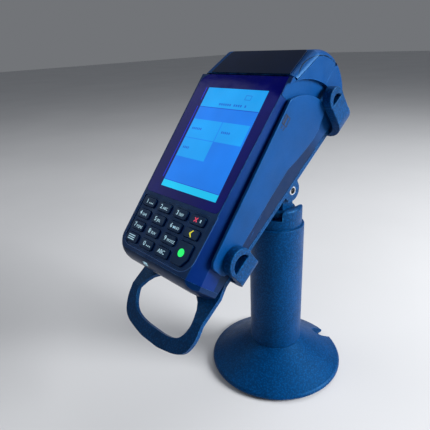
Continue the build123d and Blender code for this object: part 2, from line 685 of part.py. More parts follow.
def key_sketches(grow):
    """Outlines of all fifteen keys on the face, each grown by the same amount, keyed by name."""
    names = (
        ("key_1", "key_2", "key_3", "key_cancel"),
        ("key_4", "key_5", "key_6", "key_clear"),
        ("key_7", "key_8", "key_9", None),
        ("key_menu", "key_0", "key_alpha", None),
    )
    outlines = {}
    for row_v, row in zip(KEY_ROWS, names):
        for column_u, name in zip(KEY_COLUMNS, row):
            if name:
                with BuildSketch() as cap:
                    with Locations((column_u, row_v)):
                        RectangleRounded(KEY_WIDTH + 2 * grow, KEY_HEIGHT + 2 * grow, KEY_CORNER + grow)
                outlines[name] = cap.sketch
    with BuildSketch() as enter:
        with BuildLine():
            Polyline(
                (ENTER_LEFT, ENTER_TOP), (ENTER_RIGHT, ENTER_TOP), (ENTER_RIGHT, -68.5),
                (21.6, ENTER_BOTTOM), (ENTER_LEFT, ENTER_BOTTOM), close=True,
            )
        make_face()
        fillet(vertices(), KEY_CORNER)
        if grow:
            offset(amount=grow)
    outlines["key_enter"] = enter.sketch
    return outlines


KEY_HOLES = key_sketches(KEY_CLEAR)
GLASS_BOTTOM = -40.3


def glass_outline(grow):
    """The display glass on the face; its right edge follows the top of the slot bevel."""
    with BuildSketch() as outline:
        with BuildLine():
            Polyline(
                (-36.1 - grow, GLASS_BOTTOM - grow), (30.0 + grow, GLASS_BOTTOM - grow),
                (33.3 + grow, 33.0), (33.5 + grow, LID_V - 0.1 + grow),
                (-30.5, LID_V - 0.1 + grow), (-34.8 - grow, 41.3), (-36.1 - grow, 37.5),
                close=True,
            )
        make_face()
        fillet(vertices().group_by(Axis.Y)[0], 3.5)
        fillet(vertices().sort_by_distance((-34.8, 41.3))[0], 3.0)
    return outline.sketch


with BuildPart() as front_housing:
    add(shell.part)
    with BuildSketch(FACE.offset(PARTING_W)):
        Rectangle(300, 400)
    extrude(amount=-100, mode=Mode.SUBTRACT)
    with BuildSketch(SIDE.offset(LEFT - 1)):
        with BuildLine():
            Polyline((LID_V, 5), (LID_V, PARTING_W), (90, PARTING_W), (90, 5), close=True)
        make_face()
        offset(whole_side.sketch, amount=-LID_THICK - GAP, kind=Kind.INTERSECTION, mode=Mode.SUBTRACT)
    extrude(amount=RIGHT - LEFT + 2, mode=Mode.SUBTRACT)
    with BuildSketch(END.offset(CHIN_SEAM)):
        Rectangle(300, 300)
    extrude(amount=100, mode=Mode.SUBTRACT)
    with BuildSketch(FACE.offset(-GLASS_THICK - 0.05)):
        add(glass_outline(0.12))
    extrude(amount=5, mode=Mode.SUBTRACT)
    with BuildSketch(FACE.offset(-WALL - 1)):
        Rectangle(SCREEN_WIDTH + 6.6, SCREEN_HEIGHT + 7.6)
    extrude(amount=5, mode=Mode.SUBTRACT)
    with BuildSketch(FACE.offset(-WALL - 1)):
        for hole in KEY_HOLES.values():
            add(hole)
    extrude(amount=5, mode=Mode.SUBTRACT)
    with BuildSketch(FACE.offset(-0.4)):
        with BuildLine():
            Polyline(
                (-34.2, -42.6), (26.9, -42.6), (26.9, -68.0), (22.6, -75.4), (-30.0, -75.4), (-34.2, -70.0),
                close=True,
            )
        make_face()
        fillet(vertices(), 2.0)
    extrude(amount=2, mode=Mode.SUBTRACT)
finish(front_housing, "front_housing")

CARD_U = -2.0                  # the middle of the chip card's path
CARD_W = -12.5
CARD_SLOT = (56.0, 1.9)
with BuildPart() as card_slot_bezel:
    add(shell.part)
    with BuildSketch(END.offset(CHIN_SEAM + 0.05)):
        Rectangle(300, 300)
    extrude(amount=-300, mode=Mode.SUBTRACT)
    with BuildSketch(END.offset(-CHIN_V - 3.0)):
        with Locations((CARD_U, CARD_W)):
            Rectangle(*CARD_SLOT)
    extrude(amount=8, mode=Mode.SUBTRACT)
    with BuildSketch(END.offset(-CHIN_V - 0.9)):
        with Locations((CARD_U, CARD_W)):
            RectangleRounded(CARD_SLOT[0] + 4.0, CARD_SLOT[1] + 2.1, 1.0)
    extrude(amount=8, mode=Mode.SUBTRACT)
finish(card_slot_bezel, "card_slot_bezel")

with BuildPart() as rear_housing:
    add(shell.part)
    with BuildSketch(FACE.offset(PARTING_W - 0.05)):
        Rectangle(300, 400)
    extrude(amount=100, mode=Mode.SUBTRACT)
    with BuildSketch(CRADLE.offset(BACK_N - 1)):
        with Locations((0, sum(HATCH_S) / 2)):
            RectangleRounded(2 * HATCH_HALF, HATCH_S[1] - HATCH_S[0], 2.0)
    extrude(amount=5, mode=Mode.SUBTRACT)
    with BuildSketch(SIDE.offset(LEFT - 1)):
        with Locations(HINGE):
            Circle(HINGE_R + HINGE_ROOM_BODY)
    extrude(amount=RIGHT - LEFT + 2, mode=Mode.SUBTRACT)
    with BuildSketch(SIDE.offset(BODY_KNUCKLE[0])):
        with Locations(HINGE):
            Circle(HINGE_R)
        with Locations((HINGE[0] - 0.2, HINGE[1] - 2.0)):
            Rectangle(2.4, 3.0)
    extrude(amount=BODY_KNUCKLE[1] - BODY_KNUCKLE[0])
    with BuildSketch(SIDE.offset(LEFT)):
        with Locations(HINGE):
            Circle(HINGE_PIN_R)
    extrude(amount=RIGHT - LEFT, mode=Mode.SUBTRACT)
finish(rear_housing, "rear_housing")

with BuildPart() as battery_cover:
    with BuildSketch(CRADLE.offset(BACK_N)):
        with Locations((0, sum(HATCH_S) / 2)):
            RectangleRounded(2 * HATCH_HALF - 0.4, HATCH_S[1] - HATCH_S[0] - 0.4, 1.8)
    extrude(amount=WALL)
finish(battery_cover, "battery_cover")

with BuildPart() as housing_screws:
    with BuildSketch(CRADLE.offset(COUNTERBORE_TOP - HOUSING_SCREW_HEAD_THICK)):
        with Locations(*housing_screw_places()):
            Circle(HOUSING_SCREW_HEAD_R)
            RegularPolygon(0.9, 6, mode=Mode.SUBTRACT)
    extrude(amount=HOUSING_SCREW_HEAD_THICK)
    with BuildSketch(CRADLE.offset(COUNTERBORE_TOP)):
        with Locations(*housing_screw_places()):
            Circle(HOUSING_SCREW_R - 0.02)
    extrude(amount=14)
finish(housing_screws, "housing_screws")

# ---------------------------------------------------------------- face: glass, display and keys
with BuildPart() as display_lens:
    with BuildSketch(FACE.offset(-GLASS_THICK)):
        add(glass_outline(0))
    extrude(amount=GLASS_THICK)
finish(display_lens, "display_lens")

with BuildPart() as lcd_panel:
    with BuildSketch(FACE.offset(-3.7)):
        Rectangle(SCREEN_WIDTH + 6, SCREEN_HEIGHT + 7)
    extrude(amount=2.3)
finish(lcd_panel, "lcd_panel")

ANTENNA_CENTRE = (-2.5, 0.5)
with BuildPart() as antenna_board:
    with BuildSketch(FACE.offset(-4.9)):
        with Locations(ANTENNA_CENTRE):
            RectangleRounded(62, 82, 3)
            RectangleRounded(50, 68, 3, mode=Mode.SUBTRACT)
    extrude(amount=0.8)
finish(antenna_board, "antenna_board")

KEY_FLANGE = 0.5
KEY_BODY_BASE = -2.3
KEY_FLANGE_THICK = 0.8
for key_name, outline in key_sketches(0).items():
    with BuildPart() as key:
        with BuildSketch(FACE.offset(KEY_BODY_BASE)):
            add(outline)
        extrude(amount=KEY_PROUD - KEY_BODY_BASE)
        crown = key.faces().sort_by(lambda face: FACE.to_local_coords(face.center()).Z)[-1]
        fillet(crown.edges(), 0.45)
        with BuildSketch(FACE.offset(KEY_BODY_BASE - KEY_FLANGE_THICK)):
            add(outline)
            offset(amount=KEY_FLANGE)
        extrude(amount=KEY_FLANGE_THICK)
    finish(key, key_name)

MAT_CENTRE = (-3.8, -59.0)
with BuildPart() as keypad_mat:
    with BuildSketch(FACE.offset(-5.6)):
        with Locations(MAT_CENTRE):
            RectangleRounded(59.0, 34.0, 3)
    extrude(amount=1.3)
    with BuildSketch(FACE.offset(-5.7)):
        with GridLocations(42, 24, 2, 2):
            with Locations(MAT_CENTRE):
                Circle(1.0)
    extrude(amount=2, mode=Mode.SUBTRACT)
finish(keypad_mat, "keypad_mat")

# ---------------------------------------------------------------- electronics
with BuildPart() as main_board:
    with BuildSketch(FACE.offset(-7.6)):
        with Locations((-3.0, -17.5)):
            RectangleRounded(61.0, 115.0, 3)
    extrude(amount=1.6)
    with BuildSketch(FACE.offset(-8.7)):
        with Locations((-12, -24), (8, 6)):
            Rectangle(12, 12)
        with Locations((10, -22)):
            Rectangle(18, 14)
    extrude(amount=1.1)
finish(main_board, "main_board")

READER_V = -57.2
READER_SIZE = (59.0, 46.0)
CARD_WIDTH = 54.6
CARD_BAY = 1.2
with BuildPart() as chip_card_reader:
    with BuildSketch(FACE.offset(-15.6)):
        with Locations((CARD_U, READER_V)):
            Rectangle(*READER_SIZE)
    extrude(amount=6.2)
    with BuildSketch(FACE.offset(CARD_W - CARD_BAY / 2)):
        with Locations((CARD_U, READER_V - 1.6)):
            Rectangle(CARD_WIDTH, READER_SIZE[1])
    extrude(amount=CARD_BAY, mode=Mode.SUBTRACT)
finish(chip_card_reader, "chip_card_reader")

with BuildPart() as magstripe_head:
    with BuildSketch(SIDE.offset(HEAD_BACK_U)):
        with Locations((HEAD_V, HEAD_W)):
            Rectangle(*HEAD_SIZE)
    extrude(amount=CORE_RIGHT - HEAD_BACK_U)
    with BuildSketch(FACE.offset(HEAD_W - HEAD_SIZE[1] / 2)):
        with BuildLine():
            nose = Line((CORE_RIGHT, HEAD_V - HEAD_SIZE[0] / 2 + 0.2), (CORE_RIGHT, HEAD_V + HEAD_SIZE[0] / 2 - 0.2))
            ThreePointArc(nose @ 1, (CORE_RIGHT + 0.9, HEAD_V), nose @ 0)
        make_face()
    extrude(amount=HEAD_SIZE[1])
finish(magstripe_head, "magstripe_head")

with BuildPart() as battery_pack:
    with BuildSketch(CRADLE.offset(BACK_N + WALL + 0.3)):
        with Locations((0, sum(BATTERY_S) / 2)):
            Rectangle(2 * BATTERY_HALF, BATTERY_S[1] - BATTERY_S[0])
    extrude(amount=15)
    pack_edges = [edge for edge in battery_pack.edges() if abs(edge.center().X) > BATTERY_HALF - 0.1]
    fillet([edge for edge in pack_edges if edge.length > 20], 2.5)
finish(battery_pack, "battery_pack")

SPEAKER_PLACE = (-18.0, 8.0)
SPEAKER_R = 9.0
SPEAKER_BACK = -13.5
with BuildPart() as speaker:
    with BuildSketch(FACE.offset(SPEAKER_BACK)):
        with Locations(SPEAKER_PLACE):
            Circle(SPEAKER_R)
    extrude(amount=4)
    with BuildSketch(FACE.offset(SPEAKER_BACK)):
        with Locations(SPEAKER_PLACE):
            Circle(SPEAKER_R - 2)
            Circle(3.5, mode=Mode.SUBTRACT)
    extrude(amount=1, mode=Mode.SUBTRACT)
finish(speaker, "speaker")

with BuildPart() as swipe_rail:
    with BuildSketch(SIDE.offset(CORE_RIGHT + 0.05)):
        with BuildLine():
            front_arch = ThreePointArc((33.3, -5.3), (44.3, -17.8), (49.1, -31.9))
            back_arch = ThreePointArc(front_arch @ 1, (46.8, -36.9), (41.7, -38.7))
            under = Polyline(back_arch @ 1, (35.0, -39.9), (29.0, -39.6))
            sweep_down = ThreePointArc(under @ 1, (14.0, -34.6), (2.4, -29.4))
            Polyline(
                sweep_down @ 1, (-22.0, -25.2), (-49.0, -21.4), (-69.2, -20.8), (-67.0, -5.3), front_arch @ 0,
            )
        make_face()
        fillet(vertices().group_by(Axis.X)[0:2], 5.0)
        fillet(vertices().sort_by_distance((33.3, -5.3))[0], 4.0)
        fillet(vertices().sort_by_distance((49.1, -31.9))[0], 3.0)
    extrude(amount=RAIL_OUTER - CORE_RIGHT - 0.05)
    outer_face = swipe_rail.faces().sort_by(Axis.X)[-1]
    fillet(outer_face.edges(), 0.5)
    with BuildSketch(SIDE.offset(CORE_RIGHT)):
        with Locations((0, SLOT_DEPTH_W + 20)):
            Rectangle(300, 40)
    extrude(amount=RAIL_INNER - CORE_RIGHT, mode=Mode.SUBTRACT)
finish(swipe_rail, "swipe_rail")

# ---------------------------------------------------------------- printer drive
def gear_points(teeth, centre, tooth_angle):
    """A gear outline of straight-sided teeth, one of them centred on tooth_angle, in degrees."""
    pitch_r = MODULE * teeth / 2
    step = 360 / teeth
    corners = ((-0.32, pitch_r - 0.6), (-0.10, pitch_r + 0.45), (0.10, pitch_r + 0.45), (0.32, pitch_r - 0.6))
    points = []
    for tooth in range(teeth):
        for share, radius in corners:
            angle = math.radians(tooth_angle + (tooth + share) * step)
            points.append((centre[0] + radius * math.cos(angle), centre[1] + radius * math.sin(angle)))
    return points


opening = (PLATEN[1] - HINGE[1], HINGE[0] - PLATEN[0])
opening_angle = math.degrees(math.atan2(opening[1], opening[0]))
platen_r = MODULE * PLATEN_TEETH / 2
drive_r = MODULE * DRIVE_TEETH / 2
pinion_r = MODULE * PINION_TEETH / 2
DRIVE_CENTRE = (
    PLATEN[0] - (platen_r + drive_r) * math.cos(math.radians(opening_angle)),
    PLATEN[1] - (platen_r + drive_r) * math.sin(math.radians(opening_angle)),
)
MOTOR_ANGLE = 158.0
MOTOR_CENTRE = (
    DRIVE_CENTRE[0] + (drive_r + pinion_r) * math.cos(math.radians(MOTOR_ANGLE)),
    DRIVE_CENTRE[1] + (drive_r + pinion_r) * math.sin(math.radians(MOTOR_ANGLE)),
)
PLATEN_TOOTH = opening_angle + 180 + 180 / PLATEN_TEETH
drive_step = 360 / DRIVE_TEETH
drive_lead = round((MOTOR_ANGLE - opening_angle) / drive_step) * drive_step + opening_angle - MOTOR_ANGLE
PINION_TOOTH = MOTOR_ANGLE + 180 - drive_lead * DRIVE_TEETH / PINION_TEETH + 180 / PINION_TEETH
SHAFT_R = 1.0
PLATEN_SHAFT_R = 1.2
FRAME_LEFT_U = -32.2
FRAME_RIGHT_U = 29.0
CHEEK_THICK = 1.0
EAR_LEFT_U = -32.1
EAR_RIGHT_U = 28.2
EAR_WIDTH = 1.2
EAR_LUG_R = 2.6
MOTOR_R = 4.5
MOTOR_U = (-31.15, -18.0)
MOTOR_END = 1.0

with BuildPart() as platen_roller:
    with BuildSketch(SIDE.offset(PAPER_U[0])):
        with Locations(PLATEN):
            Circle(PLATEN_R)
    extrude(amount=PAPER_U[1] - PAPER_U[0])
    with BuildSketch(SIDE.offset(GEAR_U)):
        with Locations(PLATEN):
            Circle(PLATEN_SHAFT_R)
    extrude(amount=EAR_RIGHT_U + EAR_WIDTH + 0.6 - GEAR_U)
finish(platen_roller, "platen_roller")

with BuildPart() as platen_gear:
    with BuildSketch(SIDE.offset(GEAR_U)):
        with BuildLine():
            Polyline(*gear_points(PLATEN_TEETH, PLATEN, PLATEN_TOOTH), close=True)
        make_face()
        with Locations(PLATEN):
            Circle(PLATEN_SHAFT_R + 0.01, mode=Mode.SUBTRACT)
    extrude(amount=GEAR_THICK)
finish(platen_gear, "platen_gear")

with BuildPart() as drive_gear:
    with BuildSketch(SIDE.offset(GEAR_U)):
        with BuildLine():
            Polyline(*gear_points(DRIVE_TEETH, DRIVE_CENTRE, opening_angle), close=True)
        make_face()
    extrude(amount=GEAR_THICK)
    with BuildSketch(SIDE.offset(GEAR_U)):
        with Locations(DRIVE_CENTRE):
            Circle(SHAFT_R)
    extrude(amount=FRAME_LEFT_U + CHEEK_THICK - GEAR_U)
finish(drive_gear, "drive_gear")

with BuildPart() as motor_pinion:
    with BuildSketch(SIDE.offset(GEAR_U)):
        with BuildLine():
            Polyline(*gear_points(PINION_TEETH, MOTOR_CENTRE, PINION_TOOTH), close=True)
        make_face()
    extrude(amount=GEAR_THICK)
    with BuildSketch(SIDE.offset(GEAR_U)):
        with Locations(MOTOR_CENTRE):
            Circle(SHAFT_R)
    extrude(amount=MOTOR_U[1] - 2 - GEAR_U)
finish(motor_pinion, "motor_pinion")

with BuildPart() as drive_motor:
    with BuildSketch(SIDE.offset(MOTOR_U[0])):
        with Locations(MOTOR_CENTRE):
            Circle(MOTOR_R)
            Circle(SHAFT_R + FIT, mode=Mode.SUBTRACT)
    extrude(amount=MOTOR_U[1] - MOTOR_U[0] - MOTOR_END)
    with BuildSketch(SIDE.offset(MOTOR_U[1] - MOTOR_END)):
        with Locations(MOTOR_CENTRE):
            Circle(MOTOR_R)
    extrude(amount=MOTOR_END)
finish(drive_motor, "drive_motor")

with BuildPart() as printer_frame:
    for cheek_u in (FRAME_LEFT_U, FRAME_RIGHT_U):
        with BuildSketch(SIDE.offset(cheek_u)):
            with BuildLine():
                Polyline(
                    (29.5, -10.2), (45.0, -10.2), (45.3, -15.0), (49.0, -21.0), (44.0, -23.0), (29.5, -20.5),
                    close=True,
                )
            make_face()
        extrude(amount=CHEEK_THICK)
    with BuildSketch(SIDE.offset(FRAME_LEFT_U)):
        with Locations((42.6, -11.4)):
            Rectangle(2.8, 2.4)
    extrude(amount=FRAME_RIGHT_U + CHEEK_THICK - FRAME_LEFT_U)
    with BuildSketch(SIDE.offset(FRAME_LEFT_U - 1)):
        with Locations(DRIVE_CENTRE, MOTOR_CENTRE):
            Circle(SHAFT_R + FIT)
    extrude(amount=2.5, mode=Mode.SUBTRACT)
finish(printer_frame, "printer_frame")

with BuildPart() as print_head:
    with BuildSketch(SIDE.offset(FRAME_LEFT_U + 1.6)):
        with Locations((46.95, -10.5)):
            Rectangle(1.9, 9.0)
        with Locations((45.1, -11.6)):
            Rectangle(2.0, 1.6)
    extrude(amount=58.0)
finish(print_head, "print_head")

BUCKET_R = PAPER_R + 1.3
BUCKET_WALL = 1.0
BUCKET_SIDES = ((-30.9, -29.95), (27.75, 28.7))
with BuildPart() as paper_bucket:
    with BuildSketch(SIDE.offset(BUCKET_SIDES[0][1])):
        with Locations(ROLL_CENTRE):
            Circle(BUCKET_R)
            Circle(BUCKET_R - BUCKET_WALL, mode=Mode.SUBTRACT)
        with BuildLine():
            Polyline(
                ROLL_CENTRE,
                (ROLL_CENTRE[0] - 14.0, ROLL_CENTRE[1] + 40.0),
                (ROLL_CENTRE[0] + 40.0, ROLL_CENTRE[1] + 40.0),
                (ROLL_CENTRE[0] + 40.0, ROLL_CENTRE[1] - 10.0),
                close=True,
            )
        make_face(mode=Mode.SUBTRACT)
    extrude(amount=BUCKET_SIDES[1][0] - BUCKET_SIDES[0][1])
    for low_u, high_u in BUCKET_SIDES:
        with BuildSketch(SIDE.offset(low_u)):
            with Locations(ROLL_CENTRE):
                Circle(BUCKET_R)
        extrude(amount=high_u - low_u)
finish(paper_bucket, "paper_bucket")

with BuildPart() as paper_roll:
    with BuildSketch(SIDE.offset(PAPER_U[0])):
        with Locations(ROLL_CENTRE):
            Circle(PAPER_R)
            Circle(ROLL_BORE_R, mode=Mode.SUBTRACT)
    extrude(amount=PAPER_U[1] - PAPER_U[0])
finish(paper_roll, "paper_roll")

TEAR_EDGES = (LID_V + 0.15, LID_V + 0.85)
TEAR_BOTTOM = -10.75
with BuildPart() as tear_bar:
    with BuildSketch(SIDE.offset(PAPER_U[0] + 0.1)):
        with BuildLine():
            Polyline(
                (TEAR_EDGES[0], -1.4), (sum(TEAR_EDGES) / 2, -0.6), (TEAR_EDGES[1], -1.4),
                (TEAR_EDGES[1], TEAR_BOTTOM), (TEAR_EDGES[0], TEAR_BOTTOM), close=True,
            )
        make_face()
    extrude(amount=57.5)
finish(tear_bar, "tear_bar")

# ---------------------------------------------------------------- printer lid
slope_length = math.hypot(LID_TOP[0] - LID_V, LID_TOP[1])
slope_cos = (LID_TOP[0] - LID_V) / slope_length
slope_sin = -LID_TOP[1] / slope_length
lid_front = FACE.from_local_coords(Vector(0, LID_V, 0))
LID_PLANE = Plane(
    origin=lid_front,
    x_dir=(1, 0, 0),
    z_dir=FACE.from_local_coords(Vector(0, LID_V + slope_sin, slope_cos)) - lid_front,
)
LID_PLATE_SINK = 0.8


def lid_plate_outline(grow):
    """The flat gloss plate on the lid, in the plane of the lid's slope."""
    with BuildSketch() as outline:
        with BuildLine():
            Polyline(
                (-29.8 - grow, 1.7 - grow), (33.0 + grow, 1.7 - grow),
                (29.8 + grow, slope_length - 0.4 + grow), (-29.8 - grow, slope_length - 0.4 + grow),
                close=True,
            )
        make_face()
        fillet(vertices().group_by(Axis.Y)[-1], 2.2)
        fillet(vertices().group_by(Axis.Y)[0], 0.6)
    return outline.sketch


with BuildPart() as lid_band:
    with BuildSketch(SIDE.offset(LEFT - 1)):
        with BuildLine():
            Polyline(
                (LID_FRONT_V, 5), (LID_FRONT_V, -8), (60.0, HINGE[1]), (90, HINGE[1]), (90, 5), close=True,
            )
        make_face()
        offset(whole_side.sketch, amount=-LID_THICK, kind=Kind.INTERSECTION, mode=Mode.SUBTRACT)
    extrude(amount=RIGHT - LEFT + 2)

with BuildPart() as printer_lid:
    add(body.part)
    add(lid_band.part, mode=Mode.INTERSECT)
    with BuildSketch(SIDE.offset(BODY_KNUCKLE[0] - GAP)):
        with Locations(HINGE):
            Circle(HINGE_R + HINGE_ROOM_LID)
    extrude(amount=BODY_KNUCKLE[1] - BODY_KNUCKLE[0] + 2 * GAP, mode=Mode.SUBTRACT)
    for low_u, high_u in LID_KNUCKLES:
        with BuildSketch(SIDE.offset(low_u)):
            with Locations(HINGE):
                Circle(HINGE_R)
        extrude(amount=high_u - low_u)
    with BuildSketch(SIDE.offset(LEFT - 1)):
        with Locations(HINGE):
            Circle(HINGE_PIN_R + FIT)
    extrude(amount=RIGHT - LEFT + 2, mode=Mode.SUBTRACT)
    for ear_u in (EAR_LEFT_U, EAR_RIGHT_U):
        with BuildSketch(SIDE.offset(ear_u)):
            with Locations(PLATEN):
                Circle(EAR_LUG_R)
            with BuildLine():
                Polyline(
                    (PLATEN[0] - EAR_LUG_R, PLATEN[1]), (PLATEN[0] - EAR_LUG_R, -4.2),
                    (PLATEN[0] + EAR_LUG_R, -6.2), (PLATEN[0] + EAR_LUG_R, PLATEN[1]), close=True,
                )
            make_face()
        extrude(amount=EAR_WIDTH)
    with BuildSketch(SIDE.offset(EAR_LEFT_U - 0.2)):
        with Locations(PLATEN):
            Circle(PLATEN_SHAFT_R + FIT)
    extrude(amount=EAR_RIGHT_U + EAR_WIDTH - EAR_LEFT_U + 1, mode=Mode.SUBTRACT)
    with BuildSketch(SIDE.offset(GEAR_U - 0.4)):
        with Locations(PLATEN):
            Circle(platen_r + 1.0)
    extrude(amount=EAR_LEFT_U - 0.1 - GEAR_U + 0.4, mode=Mode.SUBTRACT)
    with BuildSketch(LID_PLANE.offset(-LID_PLATE_SINK)):
        add(lid_plate_outline(0.1))
    extrude(amount=3, mode=Mode.SUBTRACT)
finish(printer_lid, "printer_lid")

with BuildPart() as lid_plate:
    with BuildSketch(LID_PLANE.offset(-LID_PLATE_SINK)):
        add(lid_plate_outline(0))
    extrude(amount=LID_PLATE_THICK)
    plate_top = lid_plate.faces().sort_by(lambda face: LID_PLANE.to_local_coords(face.center()).Z)[-1]
    fillet(plate_top.edges(), 0.3)
finish(lid_plate, "lid_plate")

with BuildPart() as lid_hinge_pin:
    with BuildSketch(SIDE.offset(LID_KNUCKLES[0][0] + 0.2)):
        with Locations(HINGE):
            Circle(HINGE_PIN_R - 0.01)
    extrude(amount=LID_KNUCKLES[1][1] - LID_KNUCKLES[0][0] - 0.4)
finish(lid_hinge_pin, "lid_hinge_pin")

with BuildPart() as port_cover:
    with BuildSketch(SIDE.offset(LEFT)):
        with Locations((PORT_V, PORT_W)):
            SlotOverall(PORT_SLOT[0] - 0.4, PORT_SLOT[1] - 0.4)
    extrude(amount=1.6)
finish(port_cover, "port_cover")
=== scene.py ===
import math

import bmesh
import bpy
from mathutils import Matrix, Vector


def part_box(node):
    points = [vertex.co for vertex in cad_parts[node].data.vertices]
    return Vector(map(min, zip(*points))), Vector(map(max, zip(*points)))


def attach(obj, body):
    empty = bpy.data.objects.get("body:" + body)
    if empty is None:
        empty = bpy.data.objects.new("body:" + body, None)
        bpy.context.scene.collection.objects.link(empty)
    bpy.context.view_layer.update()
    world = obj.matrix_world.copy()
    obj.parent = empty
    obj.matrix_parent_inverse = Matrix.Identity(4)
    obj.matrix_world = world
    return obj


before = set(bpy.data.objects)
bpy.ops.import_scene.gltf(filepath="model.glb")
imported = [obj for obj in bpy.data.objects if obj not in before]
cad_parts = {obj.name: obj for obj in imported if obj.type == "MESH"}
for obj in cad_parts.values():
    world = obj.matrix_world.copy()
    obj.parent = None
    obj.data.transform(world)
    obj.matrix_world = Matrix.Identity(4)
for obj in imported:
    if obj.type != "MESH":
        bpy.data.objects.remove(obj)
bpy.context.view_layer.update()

MM = 0.001

# ---------------------------------------------------------------- the terminal's own frame
# u runs right across the face, v up the face and w out of it, from the middle of the display.
FACE_ANGLE = math.radians(50.46)
FACE_ORIGIN = Vector((0, -0.0599, 0.19357))
U = Vector((1, 0, 0))
V = Vector((0, math.cos(FACE_ANGLE), math.sin(FACE_ANGLE)))
W = Vector((0, -math.sin(FACE_ANGLE), math.cos(FACE_ANGLE)))

# Planes that pieces lie on: an origin in metres and three directions, the last pointing outwards.
FACE = (FACE_ORIGIN, U, V, W)
RAIL = (FACE_ORIGIN + U * (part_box("swipe_rail")[1].x), V, W, U)
CHIN_TURN = math.radians(60)
CHIN_OUT = W * math.cos(CHIN_TURN) - V * math.sin(CHIN_TURN)
CHIN_UP = W * math.sin(CHIN_TURN) + V * math.cos(CHIN_TURN)
CHIN_MIDDLE = (-81.63, -2.78)   # where the chin's curve faces that way, in v and w
CHIN = (FACE_ORIGIN + (V * CHIN_MIDDLE[0] + W * CHIN_MIDDLE[1]) * MM, U, CHIN_UP, CHIN_OUT)
BULGE_MIDDLE = (47.4, -28.8)    # the middle of the printer bulge's curve, in v and w
BULGE_CENTRE = FACE_ORIGIN + (V * BULGE_MIDDLE[0] + W * BULGE_MIDDLE[1]) * MM
BULGE_SEAM_R = 25.2
BULGE_SEAM_HALF = 0.16
KEY_TOP = 0.7
LEGEND_THICK = 0.05


def on_plane(plane, a, b, c):
    """A point at a and b across a plane and c above it, all in millimetres."""
    origin, first, second, out = plane
    return origin + (first * a + second * b + out * c) * MM


# ---------------------------------------------------------------- materials
# Painted light: the deep blue in these colours and in the highlight tints stands in for the blue light the
# object was lit by; what colour it is under white light is not known.
STAND_BLUE = (0.0002, 0.028, 0.105)
HOUSING_BLUE = (0.0002, 0.036, 0.150)
# Painted shade: darker navy copies of the housing blue for the front deck, the slot walls and the lower
# housing.
DECK_SHADE_NAVY = (0.0003, 0.013, 0.085)
SLOT_SHADE_NAVY = (0.0003, 0.010, 0.100)
UNDER_SHADE_NAVY = (0.0002, 0.006, 0.040)
KEY_NAVY = (0.0003, 0.005, 0.040)
# Paler blue laid along the stand's sharp edges, both as wear and as a painted edge highlight.
PALE_WEAR_HIGHLIGHT = (0.02, 0.24, 0.60)
# Painted light: a blue tint on the highlights, standing in for blue light.
BLUE_LIGHT_TINT = (0.10, 0.50, 1.0, 1)
NO_TINT = (1, 1, 1, 1)
# Paler blues laid along the housing's sharp edges, both as wear and as a painted edge highlight.
SKIN_WEAR_HIGHLIGHT = (0.02, 0.18, 0.50)
DEEP_WEAR_HIGHLIGHT = (0.02, 0.13, 0.42)
SKIN_ROUGHNESS = 0.42
SKIN_GRAIN = 0.00035            # metres, as are the two below
SKIN_DEPTH = 0.00003
PEBBLE = 0.0011

# Where the painted light and shade on the front and rear mouldings change, in millimetres.
DECK_SKIN = 0.55                # how far below the face the deck's colour reaches
FLANK_U = 33.4
FLANK_V = 33.0
SLOT_FLOOR = 19.0               # below the face
REAR_SHADE_FADE = (22.0, 44.0)        # in v


def new_material(name):
    material = bpy.data.materials.new(name)
    material.use_nodes = True
    tree = material.node_tree
    return material, tree, tree.nodes["Principled BSDF"]


def object_coordinates(tree):
    return tree.nodes.new("ShaderNodeTexCoord").outputs["Object"]


def noise(tree, size, detail=3.0, stretch=None):
    """Noise whose features are about size metres across; stretch scales each axis."""
    vector = object_coordinates(tree)
    if stretch:
        mapping = tree.nodes.new("ShaderNodeMapping")
        mapping.inputs["Scale"].default_value = stretch
        tree.links.new(vector, mapping.inputs["Vector"])
        vector = mapping.outputs["Vector"]
    node = tree.nodes.new("ShaderNodeTexNoise")
    node.inputs["Scale"].default_value = 1 / size
    node.inputs["Detail"].default_value = detail
    node.inputs["Roughness"].default_value = 0.55
    tree.links.new(vector, node.inputs["Vector"])
    return node.outputs["Fac"]


def map_range(tree, value, low, high, to_low, to_high):
    node = tree.nodes.new("ShaderNodeMapRange")
    for socket, number in zip(("From Min", "From Max", "To Min", "To Max"), (low, high, to_low, to_high)):
        node.inputs[socket].default_value = number
    tree.links.new(value, node.inputs["Value"])
    return node.outputs["Result"]


def mix_colours(tree, factor, first, second):
    """A colour between two, each a tuple or a socket."""
    node = tree.nodes.new("ShaderNodeMix")
    node.data_type = "RGBA"
    tree.links.new(factor, node.inputs["Factor"])
    for socket, colour in (("A", first), ("B", second)):
        slot = [s for s in node.inputs if s.name == socket and s.type == "RGBA"][0]
        if isinstance(colour, tuple):
            slot.default_value = (*colour, 1)
        else:
            tree.links.new(colour, slot)
    return [s for s in node.outputs if s.type == "RGBA"][0]


def edge_mask(tree, radius):
    """One along sharp edges, nought on flat stretches, from how far a rounded normal turns."""
    bevel = tree.nodes.new("ShaderNodeBevel")
    bevel.inputs["Radius"].default_value = radius
    bevel.samples = 4
    true_normal = tree.nodes.new("ShaderNodeNewGeometry").outputs["Normal"]
    dot = tree.nodes.new("ShaderNodeVectorMath")
    dot.operation = "DOT_PRODUCT"
    tree.links.new(bevel.outputs["Normal"], dot.inputs[0])
    tree.links.new(true_normal, dot.inputs[1])
    return map_range(tree, dot.outputs["Value"], 0.995, 0.90, 0.0, 1.0)


def bump(tree, height, depth, strength=1.0):
    """A normal that a height pattern tilts as if it stood depth metres proud."""
    node = tree.nodes.new("ShaderNodeBump")
    node.inputs["Strength"].default_value = strength
    node.inputs["Distance"].default_value = depth
    tree.links.new(height, node.inputs["Height"])
    return node.outputs["Normal"]


